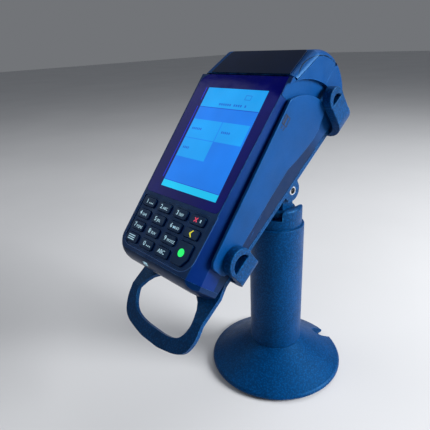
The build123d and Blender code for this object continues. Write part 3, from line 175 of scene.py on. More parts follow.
def product(tree, first, second):
    node = tree.nodes.new("ShaderNodeMath")
    node.operation = "MULTIPLY"
    tree.links.new(first, node.inputs[0])
    tree.links.new(second, node.inputs[1])
    return node.outputs["Value"]


def shade(colour, factor):
    return tuple(min(1.0, c * factor) for c in colour)


def drifting(tree, colour, fine):
    """A colour that drifts slowly over the surface and is paler on the peaks of a fine grain."""
    drift = map_range(tree, noise(tree, 0.022, 4.0), 0.35, 0.65, 0, 1)
    base = mix_colours(tree, drift, shade(colour, 0.86), shade(colour, 1.14))
    return mix_colours(tree, map_range(tree, fine, 0.35, 0.7, 0, 0.35), base, shade(colour, 1.5))


def worn_and_highlighted(tree, base, wear_and_highlight, edge, patch, band, most):
    """A base colour with paler patches along its sharp edges, standing for both wear and a painted edge
    highlight.
    """
    scuffs = map_range(tree, noise(tree, patch, 5.0), *band, 0, most)
    return mix_colours(tree, product(tree, edge_mask(tree, edge), scuffs), base, wear_and_highlight)


def finish_moulding(tree, bsdf, base, fine, roughness, depth, wear_and_highlight, tint):
    """Edge wear with a painted edge highlight, handling marks and grain on top of a base colour."""
    if wear_and_highlight:
        base = worn_and_highlighted(tree, base, wear_and_highlight, 0.0005, 0.004, (0.42, 0.68), 0.8)
    tree.links.new(base, bsdf.inputs["Base Color"])
    marks = map_range(tree, noise(tree, 0.009, 6.0), 0.3, 0.7, roughness - 0.07, roughness + 0.09)
    tree.links.new(marks, bsdf.inputs["Roughness"])
    tree.links.new(bump(tree, fine, depth), bsdf.inputs["Normal"])
    bsdf.inputs["Specular IOR Level"].default_value = 0.35
    bsdf.inputs["Specular Tint"].default_value = tint


def moulded(name, colour, roughness, grain, depth, wear_and_highlight=None, coat=0.0, tint=NO_TINT):
    """A solid finish with a fine grain, slow colour drift, handling marks and, given an edge colour, paler
    edges that are both wear and a painted edge highlight.
    """
    material, tree, bsdf = new_material(name)
    fine = noise(tree, grain, 2.0)
    finish_moulding(tree, bsdf, drifting(tree, colour, fine), fine, roughness, depth, wear_and_highlight, tint)
    bsdf.inputs["Coat Weight"].default_value = coat
    bsdf.inputs["Coat Roughness"].default_value = 0.12
    return material


def housing_skin(name, colour_pattern, wear_and_highlight=DEEP_WEAR_HIGHLIGHT):
    """The terminal's moulded skin, coloured by a function of the node tree and the fine grain."""
    material, tree, bsdf = new_material(name)
    fine = noise(tree, SKIN_GRAIN, 2.0)
    finish_moulding(tree, bsdf, colour_pattern(tree, fine), fine, SKIN_ROUGHNESS, SKIN_DEPTH, wear_and_highlight, BLUE_LIGHT_TINT)
    return material


def step_at(tree, value, threshold):
    """Nought below a threshold, one above it."""
    node = tree.nodes.new("ShaderNodeMath")
    node.operation = "GREATER_THAN"
    node.inputs[1].default_value = threshold
    tree.links.new(value, node.inputs[0])
    return node.outputs["Value"]


def distance_along(tree, direction, origin):
    """How far a surface point lies along a direction from an origin, in metres."""
    dot = tree.nodes.new("ShaderNodeVectorMath")
    dot.operation = "DOT_PRODUCT"
    dot.inputs[1].default_value = direction
    tree.links.new(object_coordinates(tree), dot.inputs[0])
    shift = tree.nodes.new("ShaderNodeMath")
    shift.operation = "SUBTRACT"
    shift.inputs[1].default_value = origin.dot(direction)
    tree.links.new(dot.outputs["Value"], shift.inputs[0])
    return shift.outputs["Value"]


def front_lit_and_shaded(tree, fine):
    """Painted light and shade on one moulding: a deck round the keys in shaded navy, slot walls in painted
    shade, darker again deep below the face, and, beside the printer, a flank in the lit housing blue.
    """
    deck = step_at(tree, distance_along(tree, W, FACE_ORIGIN), -DECK_SKIN * MM)
    outside = step_at(tree, distance_along(tree, U, FACE_ORIGIN), FLANK_U * MM)
    beside_printer = step_at(tree, distance_along(tree, V, FACE_ORIGIN), FLANK_V * MM)
    deep_shade = step_at(tree, distance_along(tree, -W, FACE_ORIGIN), SLOT_FLOOR * MM)
    shaded_wall = mix_colours(tree, deep_shade, drifting(tree, SLOT_SHADE_NAVY, fine), drifting(tree, UNDER_SHADE_NAVY, fine))
    low = mix_colours(tree, product(tree, outside, beside_printer), shaded_wall, drifting(tree, HOUSING_BLUE, fine))
    return mix_colours(tree, deck, low, drifting(tree, DECK_SHADE_NAVY, fine))


def rear_shaded(tree, fine):
    """Painted shade: dark navy behind the keys and display, turning blue towards the printer."""
    upper = map_range(tree, distance_along(tree, V, FACE_ORIGIN), REAR_SHADE_FADE[0] * MM, REAR_SHADE_FADE[1] * MM, 0, 1)
    return mix_colours(tree, upper, drifting(tree, UNDER_SHADE_NAVY, fine), drifting(tree, HOUSING_BLUE, fine))


def lid_colours(tree, fine):
    """Blue, with a fine dark seam line round the side of the bulge."""
    flatten = tree.nodes.new("ShaderNodeVectorMath")
    flatten.operation = "MULTIPLY"
    flatten.inputs[1].default_value = (0, 1, 1)
    tree.links.new(object_coordinates(tree), flatten.inputs[0])
    reach = tree.nodes.new("ShaderNodeVectorMath")
    reach.operation = "DISTANCE"
    reach.inputs[1].default_value = BULGE_CENTRE
    tree.links.new(flatten.outputs["Vector"], reach.inputs[0])
    band = tree.nodes.new("ShaderNodeMath")
    band.operation = "COMPARE"
    band.inputs[1].default_value = BULGE_SEAM_R * MM
    band.inputs[2].default_value = BULGE_SEAM_HALF * MM
    tree.links.new(reach.outputs["Value"], band.inputs[0])
    seam = shade(HOUSING_BLUE, 0.08)
    return mix_colours(tree, band.outputs["Value"], drifting(tree, HOUSING_BLUE, fine), seam)


def powder_coat(name, colour, wear_and_highlight):
    """Textured powder coat: a pebbled skin of small round grains over painted steel, with painted highlights
    on the grains' tops.
    """
    material, tree, bsdf = new_material(name)
    cells = tree.nodes.new("ShaderNodeTexVoronoi")
    cells.feature = "SMOOTH_F1"
    cells.inputs["Scale"].default_value = 1 / PEBBLE
    tree.links.new(object_coordinates(tree), cells.inputs["Vector"])
    pebbles = cells.outputs["Distance"]
    drift = map_range(tree, noise(tree, 0.03, 4.0), 0.35, 0.65, 0, 1)
    base = mix_colours(tree, drift, shade(colour, 0.85), shade(colour, 1.15))
    # Painted highlight: the middles of the pebbles are painted paler, as light catching the grains' tops.
    base = mix_colours(tree, map_range(tree, pebbles, 0.05, 0.5, 0.5, 0), base, shade(colour, 3.2))
    tree.links.new(worn_and_highlighted(tree, base, wear_and_highlight, 0.0006, 0.005, (0.45, 0.7), 0.7), bsdf.inputs["Base Color"])
    sheen = map_range(tree, noise(tree, 0.012, 5.0), 0.3, 0.7, 0.38, 0.54)
    tree.links.new(sheen, bsdf.inputs["Roughness"])
    bsdf.inputs["Specular IOR Level"].default_value = 0.30
    bsdf.inputs["Specular Tint"].default_value = BLUE_LIGHT_TINT
    tree.links.new(bump(tree, pebbles, 0.00018, 0.6), bsdf.inputs["Normal"])
    return material


def gloss(name, colour, tint, roughness=0.06):
    """Polished hard-coated plastic or glass with a faint haze of finger marks."""
    material, tree, bsdf = new_material(name)
    drift = map_range(tree, noise(tree, 0.03, 3.0), 0.35, 0.65, 0, 1)
    base = mix_colours(tree, drift, shade(colour, 0.8), shade(colour, 1.25))
    tree.links.new(base, bsdf.inputs["Base Color"])
    prints = map_range(tree, noise(tree, 0.007, 7.0), 0.48, 0.75, roughness, roughness + 0.16)
    tree.links.new(prints, bsdf.inputs["Roughness"])
    tree.links.new(bump(tree, noise(tree, 0.05, 1.0), 0.0002, 0.25), bsdf.inputs["Normal"])
    bsdf.inputs["Specular Tint"].default_value = tint
    bsdf.inputs["Specular IOR Level"].default_value = 0.22
    return material


def brushed(name, colour, direction):
    """Bare metal with fine lines drawn along one direction."""
    material, tree, bsdf = new_material(name)
    stretch = tuple(0.06 if d else 1.0 for d in direction)
    lines = noise(tree, 0.0004, 3.0, stretch)
    base = mix_colours(tree, map_range(tree, lines, 0.3, 0.7, 0, 1), shade(colour, 0.8), shade(colour, 1.12))
    tree.links.new(base, bsdf.inputs["Base Color"])
    bsdf.inputs["Metallic"].default_value = 1.0
    tree.links.new(map_range(tree, lines, 0.3, 0.7, 0.24, 0.4), bsdf.inputs["Roughness"])
    tree.links.new(bump(tree, lines, 0.00003, 0.5), bsdf.inputs["Normal"])
    return material


def circuit_board(name):
    """Solder mask with copper tracks showing through it."""
    material, tree, bsdf = new_material(name)
    tracks = tree.nodes.new("ShaderNodeTexBrick")
    tracks.inputs["Scale"].default_value = 160
    tracks.inputs["Mortar Size"].default_value = 0.05
    tracks.inputs["Color1"].default_value = (0.004, 0.06, 0.03, 1)
    tracks.inputs["Color2"].default_value = (0.006, 0.085, 0.04, 1)
    tracks.inputs["Mortar"].default_value = (0.02, 0.16, 0.07, 1)
    tree.links.new(object_coordinates(tree), tracks.inputs["Vector"])
    drift = map_range(tree, noise(tree, 0.01, 4.0), 0.3, 0.7, 0, 0.5)
    base = mix_colours(tree, drift, tracks.outputs["Color"], (0.008, 0.10, 0.05))
    tree.links.new(base, bsdf.inputs["Base Color"])
    tree.links.new(map_range(tree, noise(tree, 0.003), 0.3, 0.7, 0.28, 0.42), bsdf.inputs["Roughness"])
    tree.links.new(bump(tree, tracks.outputs["Fac"], 0.00004, 0.6), bsdf.inputs["Normal"])
    return material


def paper(name, centre):
    """Wound thermal paper: rings round the roll's axis on its ends and faint fibres elsewhere."""
    material, tree, bsdf = new_material(name)
    mapping = tree.nodes.new("ShaderNodeMapping")
    mapping.inputs["Location"].default_value = (0, -centre.y, -centre.z)
    tree.links.new(object_coordinates(tree), mapping.inputs["Vector"])
    rings = tree.nodes.new("ShaderNodeTexWave")
    rings.wave_type = "RINGS"
    rings.rings_direction = "X"
    rings.inputs["Scale"].default_value = 900
    rings.inputs["Distortion"].default_value = 0.6
    tree.links.new(mapping.outputs["Vector"], rings.inputs["Vector"])
    layered = map_range(tree, rings.outputs["Fac"], 0, 1, 0, 0.6)
    base = mix_colours(tree, layered, (0.80, 0.83, 0.86), (0.60, 0.63, 0.67))
    tree.links.new(base, bsdf.inputs["Base Color"])
    tree.links.new(map_range(tree, noise(tree, 0.002, 5.0), 0.3, 0.7, 0.6, 0.78), bsdf.inputs["Roughness"])
    tree.links.new(bump(tree, noise(tree, 0.0006, 4.0), 0.00004, 0.5), bsdf.inputs["Normal"])
    return material


def lit(name, colour, strength):
    """A lit patch of the display behind gloss: fine rows of cells over a slow drift in brightness."""
    material, tree, bsdf = new_material(name)
    drift = map_range(tree, noise(tree, 0.035, 2.0), 0.35, 0.65, 0, 1)
    glow = mix_colours(tree, drift, shade(colour, 0.88), shade(colour, 1.06))
    cells = map_range(tree, noise(tree, 0.00025, 1.0), 0.3, 0.7, 0, 0.25)
    glow = mix_colours(tree, cells, glow, shade(colour, 0.8))
    tree.links.new(glow, bsdf.inputs["Emission Color"])
    dim = mix_colours(tree, drift, shade(colour, 0.05), shade(colour, 0.08))
    tree.links.new(dim, bsdf.inputs["Base Color"])
    bsdf.inputs["Emission Strength"].default_value = strength
    tree.links.new(map_range(tree, noise(tree, 0.007, 6.0), 0.4, 0.8, 0.08, 0.22), bsdf.inputs["Roughness"])
    bsdf.inputs["Specular IOR Level"].default_value = 0.12
    return material


def printed(name, colour, glow=0.0):
    """Screen-printed ink, a little uneven at its edges."""
    material, tree, bsdf = new_material(name)
    patchy = map_range(tree, noise(tree, 0.0012, 5.0), 0.35, 0.65, 0, 1)
    ink = mix_colours(tree, patchy, shade(colour, 0.82), shade(colour, 1.08))
    tree.links.new(ink, bsdf.inputs["Base Color"])
    tree.links.new(ink, bsdf.inputs["Emission Color"])
    bsdf.inputs["Emission Strength"].default_value = glow
    tree.links.new(map_range(tree, patchy, 0, 1, 0.35, 0.5), bsdf.inputs["Roughness"])
    tree.links.new(bump(tree, patchy, 0.00001, 0.4), bsdf.inputs["Normal"])
    return material


COAT = powder_coat("powder_coat", STAND_BLUE, PALE_WEAR_HIGHLIGHT)
HOUSING = housing_skin("housing_texture", lambda tree, fine: drifting(tree, HOUSING_BLUE, fine), SKIN_WEAR_HIGHLIGHT)
LID = housing_skin("lid_texture", lid_colours, SKIN_WEAR_HIGHLIGHT)
REAR = housing_skin("rear_painted_shade", rear_shaded)
FRONT = housing_skin("front_painted_light_and_shade", front_lit_and_shaded)
KEYS = moulded("key_texture", KEY_NAVY, 0.38, 0.0003, 0.00002, (0.01, 0.09, 0.26), tint=BLUE_LIGHT_TINT)
BEZEL_NAVY = (0.0004, 0.008, 0.045)
BEZEL = moulded("bezel_texture", BEZEL_NAVY, 0.34, 0.0004, 0.00002, (0.01, 0.07, 0.25), tint=BLUE_LIGHT_TINT)
# Painted light: the blue tints of the glass's and lid plate's reflections stand in for blue light.
GLASS = gloss("display_glass", (0.0002, 0.0015, 0.170), (0.02, 0.08, 1.0, 1))
LID_GLOSS = gloss("lid_gloss", (0.0004, 0.005, 0.026), (0.05, 0.45, 1.0, 1), 0.1)
STEEL = brushed("zinc_steel", (0.60, 0.62, 0.66), (1, 0, 0))
RUBBER = moulded("black_rubber", (0.012, 0.013, 0.016), 0.78, 0.0006, 0.00006)
SILICONE = moulded("silicone", (0.05, 0.06, 0.09), 0.6, 0.0005, 0.00002)
NYLON = moulded("nylon", (0.70, 0.69, 0.64), 0.45, 0.0004, 0.00002)
FOAM = moulded("foam_tape", (0.02, 0.02, 0.025), 0.9, 0.0007, 0.00015)
INNER = moulded("inner_plastic", (0.025, 0.025, 0.03), 0.5, 0.0004, 0.00003)
WRAP = moulded("battery_wrap", (0.03, 0.035, 0.045), 0.35, 0.0008, 0.00002, coat=0.3)
BOARD = circuit_board("circuit_board")
PAPER_LOW, PAPER_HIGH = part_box("paper_roll")
PAPER = paper("thermal_paper", (PAPER_LOW + PAPER_HIGH) / 2)

NODE_FINISH = {
    COAT: (
        "base_dish", "pole_tube", "pole_cap", "swivel_head", "tilt_bracket", "holder_plate",
        "grip_lower_right", "grip_lower_left", "grip_upper_right", "grip_upper_left",
    ),
    HOUSING: ("swipe_rail",),
    REAR: ("rear_housing", "battery_cover"),
    LID: ("printer_lid",),
    FRONT: ("front_housing",),
    BEZEL: ("card_slot_bezel",),
    GLASS: ("display_lens",),
    LID_GLOSS: ("lid_plate",),
    STEEL: (
        "swivel_nut", "tilt_pin", "holder_screws", "housing_screws", "drive_motor", "printer_frame",
        "tear_bar", "lid_hinge_pin", "magstripe_head",
    ),
    RUBBER: ("base_pad", "platen_roller"),
    SILICONE: ("keypad_mat", "port_cover"),
    NYLON: ("friction_washers", "platen_gear", "drive_gear", "motor_pinion"),
    FOAM: ("adhesive_pad",),
    INNER: ("chip_card_reader", "speaker", "print_head", "paper_bucket", "lcd_panel"),
    WRAP: ("battery_pack",),
    BOARD: ("antenna_board", "main_board"),
    PAPER: ("paper_roll",),
    KEYS: tuple(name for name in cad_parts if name.startswith("key_")),
}
for finish, node_names in NODE_FINISH.items():
    for node_name in node_names:
        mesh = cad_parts[node_name].data
        mesh.materials.clear()
        mesh.materials.append(finish)


# ---------------------------------------------------------------- mesh helpers
def add_piece(name, mesh, finish, body):
    piece = bpy.data.objects.new(name, mesh)
    bpy.context.scene.collection.objects.link(piece)
    mesh.materials.clear()
    mesh.materials.append(finish)
    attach(piece, body)
    return piece


def rounded(centre, size, radius, steps=5):
    """The outline of a rectangle with round corners, counterclockwise."""
    points = []
    half = (size[0] / 2 - radius, size[1] / 2 - radius)
    for quarter, (sign_a, sign_b) in enumerate(((1, 1), (-1, 1), (-1, -1), (1, -1))):
        for step in range(steps + 1):
            angle = math.pi / 2 * (quarter + step / steps)
            points.append((
                centre[0] + sign_a * half[0] + radius * math.cos(angle),
                centre[1] + sign_b * half[1] + radius * math.sin(angle),
            ))
    return points


def disc(centre, radius, steps=40):
    turns = [2 * math.pi * step / steps for step in range(steps)]
    return [(centre[0] + radius * math.cos(t), centre[1] + radius * math.sin(t)) for t in turns]


def stroke(start, end, width):
    """A straight bar between two points."""
    along = Vector(end) - Vector(start)
    side = Vector((-along.y, along.x)).normalized() * width / 2
    corners = (Vector(start) - side, Vector(end) - side, Vector(end) + side, Vector(start) + side)
    return [tuple(corner) for corner in corners]


def slab(outlines, low, high, plane):
    """A mesh of flat pieces, one from each outline, standing between two heights above the plane."""
    bm = bmesh.new()
    for outline in outlines:
        floor_ring = [bm.verts.new(on_plane(plane, a, b, low)) for a, b in outline]
        top_ring = [bm.verts.new(on_plane(plane, a, b, high)) for a, b in outline]
        bm.faces.new(list(reversed(floor_ring)))
        bm.faces.new(top_ring)
        count = len(outline)
        for i in range(count):
            j = (i + 1) % count
            bm.faces.new((floor_ring[i], floor_ring[j], top_ring[j], top_ring[i]))
    bmesh.ops.recalc_face_normals(bm, faces=bm.faces)
    mesh = bpy.data.meshes.new("slab")
    bm.to_mesh(mesh)
    bm.free()
    return mesh


def frame_outline(centre, size, line):
    """A thin rectangular line, as four bars."""
    a, b = size[0] / 2, size[1] / 2
    x, y = centre
    return [
        stroke((x - a, y + b), (x + a, y + b), line), stroke((x - a, y - b), (x + a, y - b), line),
        stroke((x - a, y - b), (x - a, y + b), line), stroke((x + a, y - b), (x + a, y + b), line),
    ]


def bead(name, points, radius, finish, body, plane):
    """A round bead along a line of points on a plane."""
    curve = bpy.data.curves.new(name, "CURVE")
    curve.dimensions = "3D"
    spline = curve.splines.new("POLY")
    spline.points.add(len(points) - 1)
    for point, (a, b, c) in zip(spline.points, points):
        point.co = (*on_plane(plane, a, b, c), 1)
    curve.bevel_depth = radius * MM
    curve.bevel_resolution = 3
    curve.use_fill_caps = True
    holder = bpy.data.objects.new(name + "_line", curve)
    bpy.context.scene.collection.objects.link(holder)
    mesh = bpy.data.meshes.new_from_object(holder.evaluated_get(bpy.context.evaluated_depsgraph_get()))
    bpy.data.objects.remove(holder)
    mesh.shade_smooth()
    return add_piece(name, mesh, finish, body)


def lettering(text, height, corner, low, plane):
    """A flat mesh of characters whose left end and middle height are at a corner point of the plane."""
    curve = bpy.data.curves.new("characters", "FONT")
    curve.body = text
    curve.size = height * MM
    curve.align_y = "CENTER"
    curve.extrude = LEGEND_THICK / 2 * MM
    curve.resolution_u = 3
    curve.offset = height * 0.012 * MM
    holder = bpy.data.objects.new("characters", curve)
    bpy.context.scene.collection.objects.link(holder)
    mesh = bpy.data.meshes.new_from_object(holder.evaluated_get(bpy.context.evaluated_depsgraph_get()))
    bpy.data.objects.remove(holder)
    origin, first, second, out = plane
    turn = Matrix((first, second, out)).transposed().to_4x4()
    place = on_plane(plane, corner[0], corner[1], low + LEGEND_THICK / 2)
    mesh.transform(Matrix.Translation(place) @ turn)
    return mesh


def joined(meshes):
    """One mesh from several."""
    bm = bmesh.new()
    for mesh in meshes:
        bm.from_mesh(mesh)
    bmesh.ops.remove_doubles(bm, verts=bm.verts, dist=1e-7)
    whole = bpy.data.meshes.new("joined")
    bm.to_mesh(whole)
    bm.free()
    return whole


# ---------------------------------------------------------------- display
SCREEN = (49.0, 69.0)
SCREEN_LAYER = 0.02


def screen_patch(name, centre, size, layer, finish, radius=0.15):
    """A lit rectangle of the display; a higher layer covers a lower one."""
    low = SCREEN_LAYER * layer
    mesh = slab([rounded(centre, size, radius, 3)], low, low + SCREEN_LAYER, FACE)
    return add_piece(name, mesh, finish, "terminal")


SCREEN_BLUE = lit("screen_blue", (0.0, 0.22, 0.95), 0.9)
SCREEN_HEADER = lit("screen_header", (0.0, 0.38, 0.98), 0.95)
SCREEN_TILE = lit("screen_tile", (0.0, 0.36, 0.98), 0.95)
SCREEN_BAR = lit("screen_bar", (0.0, 0.60, 1.0), 0.95)
SCREEN_LINE = lit("screen_line", (0.0, 0.10, 0.75), 0.8)
SCREEN_MARK = lit("screen_mark", (0.0, 0.17, 0.80), 0.8)
EDGE_GLOW = lit("edge_glow", (0.0, 0.03, 0.95), 0.9)

HEADER_LINE_V = 20.9
FOOTER_LINE_V = -30.0
TILE_HEIGHT = 12.8
TILE_SPANS = ((-24.2, 1.2), (1.7, 23.2))
TILE_ROWS = (5.8, -7.4)
WORD_START = 2.8                # from a tile's left edge to its first letter
HEADER_HEIGHT = SCREEN[1] / 2 - HEADER_LINE_V
FOOTER_HEIGHT = SCREEN[1] / 2 + FOOTER_LINE_V
HEADER_MIDDLE = (0, SCREEN[1] / 2 - HEADER_HEIGHT / 2)
FOOTER_MIDDLE = (0, -SCREEN[1] / 2 + FOOTER_HEIGHT / 2)
LINE_WIDE = SCREEN[0] - 0.4
TILE_WORD = (1.0, 1.5)
TILE_WORD_PITCH = 1.5
STATUS_WORD = (1.15, 1.5)
STATUS_WORD_PITCH = 1.75
STATUS_START = (-8.2, 23.6)
STATUS_GAPS = (6, 11)           # letters left out of the status line, where its spaces are
WORD_CORNER = 0.3
GLOW_U = -26.7                  # the lit strip just outside the screen's left edge
GLOW_WIDE = 0.5

screen_patch("screen_field", (0, 0), SCREEN, 0, SCREEN_BLUE, 0.4)
screen_patch("screen_header_band", HEADER_MIDDLE, (SCREEN[0], HEADER_HEIGHT), 1, SCREEN_HEADER)
screen_patch("screen_footer_band", FOOTER_MIDDLE, (SCREEN[0], FOOTER_HEIGHT), 1, SCREEN_BAR)
screen_patch("screen_header_line", (0, HEADER_LINE_V), (LINE_WIDE, 0.45), 2, SCREEN_LINE, 0.05)
screen_patch("screen_footer_line", (0, FOOTER_LINE_V), (LINE_WIDE, 0.40), 2, SCREEN_LINE, 0.05)
for tile, (column, row) in enumerate(((0, 0), (1, 0), (0, 1))):
    low, high = TILE_SPANS[column]
    row_v = TILE_ROWS[row]
    screen_patch(f"screen_tile_{tile}", ((low + high) / 2, row_v), (high - low, TILE_HEIGHT), 1, SCREEN_TILE)
    starts = [low + WORD_START + TILE_WORD_PITCH * n for n in range(6 - tile)]
    words = [rounded((start, row_v), TILE_WORD, WORD_CORNER, 3) for start in starts]
    mesh = slab(words, 2 * SCREEN_LAYER, 3 * SCREEN_LAYER, FACE)
    add_piece(f"screen_tile_words_{tile}", mesh, SCREEN_MARK, "terminal")

starts = [STATUS_START[0] + STATUS_WORD_PITCH * n for n in range(13) if n not in STATUS_GAPS]
status_words = [rounded((start, STATUS_START[1]), STATUS_WORD, WORD_CORNER, 3) for start in starts]
status_icon = frame_outline((12.0, 29.2), (4.4, 2.8), 0.3)
mesh = slab(status_words + status_icon, 2 * SCREEN_LAYER, 3 * SCREEN_LAYER, FACE)
add_piece("screen_status", mesh, SCREEN_MARK, "terminal")
glow_bars = [
    rounded((GLOW_U, 30.0), (GLOW_WIDE, 9.0), 0.2, 3), rounded((GLOW_U, -4.0), (GLOW_WIDE, 50.0), 0.2, 3),
]
add_piece("screen_edge_glow", slab(glow_bars, 0, SCREEN_LAYER, FACE), EDGE_GLOW, "terminal")

# ---------------------------------------------------------------- key legends
LEGEND = printed("legend_ink", (0.50, 0.80, 1.0), 0.35)
CANCEL_RED = printed("cancel_red", (0.80, 0.03, 0.10), 0.5)
CLEAR_YELLOW = printed("clear_yellow", (0.85, 0.80, 0.02), 0.5)
ENTER_GREEN = printed("enter_green", (0.0, 0.80, 0.13), 0.9)
DIGIT_HEIGHT = 3.8
LETTER_HEIGHT = 2.3
LABEL_HEIGHT = 3.2
DIGIT_SHIFT = 3.4               # from a key's middle to the left end of its digit, with letters beside it
LONE_DIGIT_SHIFT = 2.7
LETTER_SHIFT = (2.7, -0.5)      # from the digit's left end to its letters
DOT_SHIFT = (3.6, -0.6)
DOT_PITCH = 1.5
DOT_R = 0.42
CROSS_WIDE = 0.7
ENTER_DISC = (18.1, -66.6)      # middle of the green disc, in u and v
ENTER_DISC_R = 2.35
ENTER_PROUD = 0.08
KEY_LETTERS = {
    "1": "", "2": "ABC", "3": "DEF", "4": "GHI", "5": "JKL", "6": "MNO", "7": "PQRS", "8": "TUV", "9": "WXYZ",
    "0": "",
}


def key_middle(name):
    """The middle of a key in u and v, in millimetres."""
    low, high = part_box(name)
    offset = (low + high) / 2 - FACE_ORIGIN
    return offset.dot(U) / MM, offset.dot(V) / MM


for digit, letters in KEY_LETTERS.items():
    key = f"key_{digit}"
    middle_u, middle_v = key_middle(key)
    start = middle_u - (DIGIT_SHIFT if letters else LONE_DIGIT_SHIFT)
    meshes = [lettering(digit, DIGIT_HEIGHT, (start, middle_v), KEY_TOP, FACE)]
    if letters:
        place = (start + LETTER_SHIFT[0], middle_v + LETTER_SHIFT[1])
        meshes.append(lettering(letters, LETTER_HEIGHT, place, KEY_TOP, FACE))
    else:
        dots = [(start + DOT_SHIFT[0] + DOT_PITCH * n, middle_v + DOT_SHIFT[1]) for n in range(3)]
        marks = [disc(dot, DOT_R, 16) for dot in dots]
        meshes.append(slab(marks, KEY_TOP, KEY_TOP + LEGEND_THICK, FACE))
    add_piece(f"legend_{digit}", joined(meshes), LEGEND, key)


def key_marks(name, key, outlines, finish, proud=LEGEND_THICK):
    mesh = slab(outlines, KEY_TOP, KEY_TOP + proud, FACE)
    return add_piece(name, mesh, finish, key)


u, v = key_middle("key_cancel")
low, high = (u - 2.3, v - 1.2), (u + 0.1, v + 1.2)
rising = stroke(low, high, CROSS_WIDE)
falling = stroke((low[0], high[1]), (high[0], low[1]), CROSS_WIDE)
key_marks("legend_cancel", "key_cancel", [rising], CANCEL_RED)
key_marks("legend_cancel_cross", "key_cancel", [falling], CANCEL_RED, LEGEND_THICK + 0.01)
key_marks("legend_power", "key_cancel", [rounded((u + 2.8, v), (0.8, 1.8), 0.35)], LEGEND)
u, v = key_middle("key_clear")
chevron = [
    (u + 0.5, v - 2.0), (u + 1.3, v - 2.0), (u - 0.2, v),
    (u + 1.3, v + 2.0), (u + 0.5, v + 2.0), (u - 1.4, v),
]
key_marks("legend_clear", "key_clear", [chevron], CLEAR_YELLOW)
key_marks("legend_enter", "key_enter", [disc(ENTER_DISC, ENTER_DISC_R)], ENTER_GREEN, ENTER_PROUD)
u, v = key_middle("key_menu")
bars = [rounded((u - 0.4, v + step * 1.25), (6.4, 0.55), 0.25, 3) for step in (-1, 0, 1)]
key_marks("legend_menu", "key_menu", bars, LEGEND)
u, v = key_middle("key_alpha")
mesh = lettering("ABC", LABEL_HEIGHT, (u - 3.6, v), KEY_TOP, FACE)
add_piece("legend_alpha", mesh, LEGEND, "key_alpha")

# ---------------------------------------------------------------- small features of the housing
# Painted highlight: the deck's edge catches the light all along, and a paler bead is laid on it to show that.
RIM_HIGHLIGHT = moulded("rim_painted_highlight", (0.012, 0.07, 0.24), 0.22, 0.0005, 0.00001)


def corner(centre, radius, start, end, steps=8):
    """Points round a corner between two angles in degrees."""
    turns = [math.radians(start + (end - start) * step / steps) for step in range(steps + 1)]
    return [(centre[0] + radius * math.cos(t), centre[1] + radius * math.sin(t)) for t in turns]


# A painted highlight along the deck's edge, from beside the keys round the chin's two corners.
deck_line = (
    [(31.2, -41.5)] + corner((20.2, -66.6), 9.6, -10, -90) + corner((-26.6, -67.4), 8.8, -90, -175)
    + [(-35.9, -42.0)]
)
DECK_BEAD_R = 0.28
bead("deck_edge_highlight", [(a, b, 0.0) for a, b in deck_line], DECK_BEAD_R, RIM_HIGHLIGHT, "terminal", FACE)

SUNK = 0.35                     # how deep the two symbols start below the curved skin they sit on


def card_symbol(name, plane, centre, size, finish, proud):
    """A generic card: an outline, its stripe and two short marks beside it."""
    a, b = centre
    long, tall = size
    line = 0.1 * long
    outlines = frame_outline(centre, size, line)
    outlines.append(rounded((a, b + 0.14 * tall), (long, 0.24 * tall), 0.05))
    for step in (-1, 1):
        outlines.append(rounded((a - 0.85 * long, b + step * 0.25 * tall), (0.35 * long, line), 0.05))
    add_piece(name, slab(outlines, -SUNK, proud, plane), finish, "terminal")


card_symbol("chip_card_symbol", CHIN, (-7.3, 0.5), (2.8, 2.2), LEGEND, 0.14)
SYMBOL_DARK = printed("symbol_dark", (0.0002, 0.002, 0.012))
card_symbol("swipe_symbol", RAIL, (22.6, -9.2), (5.4, 4.4), SYMBOL_DARK, 0.08)

# ---------------------------------------------------------------- stage, light and camera
def pale_floor():
    bm = bmesh.new()
    bmesh.ops.create_grid(bm, x_segments=2, y_segments=2, size=6.0)
    mesh = bpy.data.meshes.new("floor")
    bm.to_mesh(mesh)
    bm.free()
    floor = bpy.data.objects.new("floor", mesh)
    bpy.context.scene.collection.objects.link(floor)
    material, tree, bsdf = new_material("pale_floor")
    tone = map_range(tree, noise(tree, 0.3, 3.0), 0.3, 0.7, 0, 1)
    base = mix_colours(tree, tone, (0.60, 0.61, 0.63), (0.64, 0.65, 0.67))
    tree.links.new(base, bsdf.inputs["Base Color"])
    bsdf.inputs["Roughness"].default_value = 0.7
    mesh.materials.append(material)


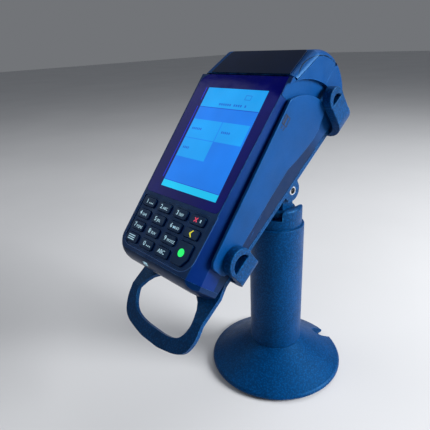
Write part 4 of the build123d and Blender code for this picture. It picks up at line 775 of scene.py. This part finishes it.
def area_light(name, position, target, size, power):
    data = bpy.data.lights.new(name, "AREA")
    data.shape = "DISK"
    data.size = size
    data.energy = power
    lamp = bpy.data.objects.new(name, data)
    bpy.context.scene.collection.objects.link(lamp)
    lamp.location = position
    lamp.rotation_euler = (Vector(target) - Vector(position)).to_track_quat("-Z", "Y").to_euler()


pale_floor()
TARGET = (0, -0.03, 0.15)
area_light("key_light", (0.95, 0.45, 0.60), TARGET, 0.6, 24)
area_light("front_fill", (-0.9, -0.7, 0.9), TARGET, 0.9, 2.5)
area_light("top_light", (0.1, 0.5, 1.1), TARGET, 0.8, 4)

world = bpy.data.worlds.new("studio")
world.use_nodes = True
background = world.node_tree.nodes["Background"]
background.inputs["Color"].default_value = (0.70, 0.73, 0.78, 1)
background.inputs["Strength"].default_value = 0.24
bpy.context.scene.world = world
bpy.context.scene.view_settings.view_transform = "Standard"

# The camera stands where the photograph was taken from, as fitted to the outlines in it.
CAMERA_PLACE = Vector((0.18352, -0.225585, 0.246904))
CAMERA_AZIMUTH = math.radians(48.08)
CAMERA_ELEVATION = math.radians(22.91)
CAMERA_ROLL = math.radians(-2.81)
SENSOR = 36.0
FOCAL_SHARE = 425.521 / 430     # focal length as a share of the picture's width
SHIFT_Y = 0.0141                # how far the picture's middle is from the lens's, of its width
NEAR_CLIP = 0.01

back = Vector((
    math.sin(CAMERA_AZIMUTH) * math.cos(CAMERA_ELEVATION),
    -math.cos(CAMERA_AZIMUTH) * math.cos(CAMERA_ELEVATION),
    math.sin(CAMERA_ELEVATION),
))
right = (-back).cross(Vector((0, 0, 1))).normalized()
up = right.cross(-back)
rolled_right = right * math.cos(CAMERA_ROLL) + up * math.sin(CAMERA_ROLL)
rolled_up = up * math.cos(CAMERA_ROLL) - right * math.sin(CAMERA_ROLL)
camera_data = bpy.data.cameras.new("camera")
camera_data.sensor_width = SENSOR
camera_data.lens = SENSOR * FOCAL_SHARE
camera_data.shift_y = SHIFT_Y
camera_data.clip_start = NEAR_CLIP
camera = bpy.data.objects.new("camera", camera_data)
bpy.context.scene.collection.objects.link(camera)
pose = Matrix((rolled_right, rolled_up, back)).transposed().to_4x4()
camera.matrix_world = Matrix.Translation(CAMERA_PLACE) @ pose
bpy.context.scene.camera = camera
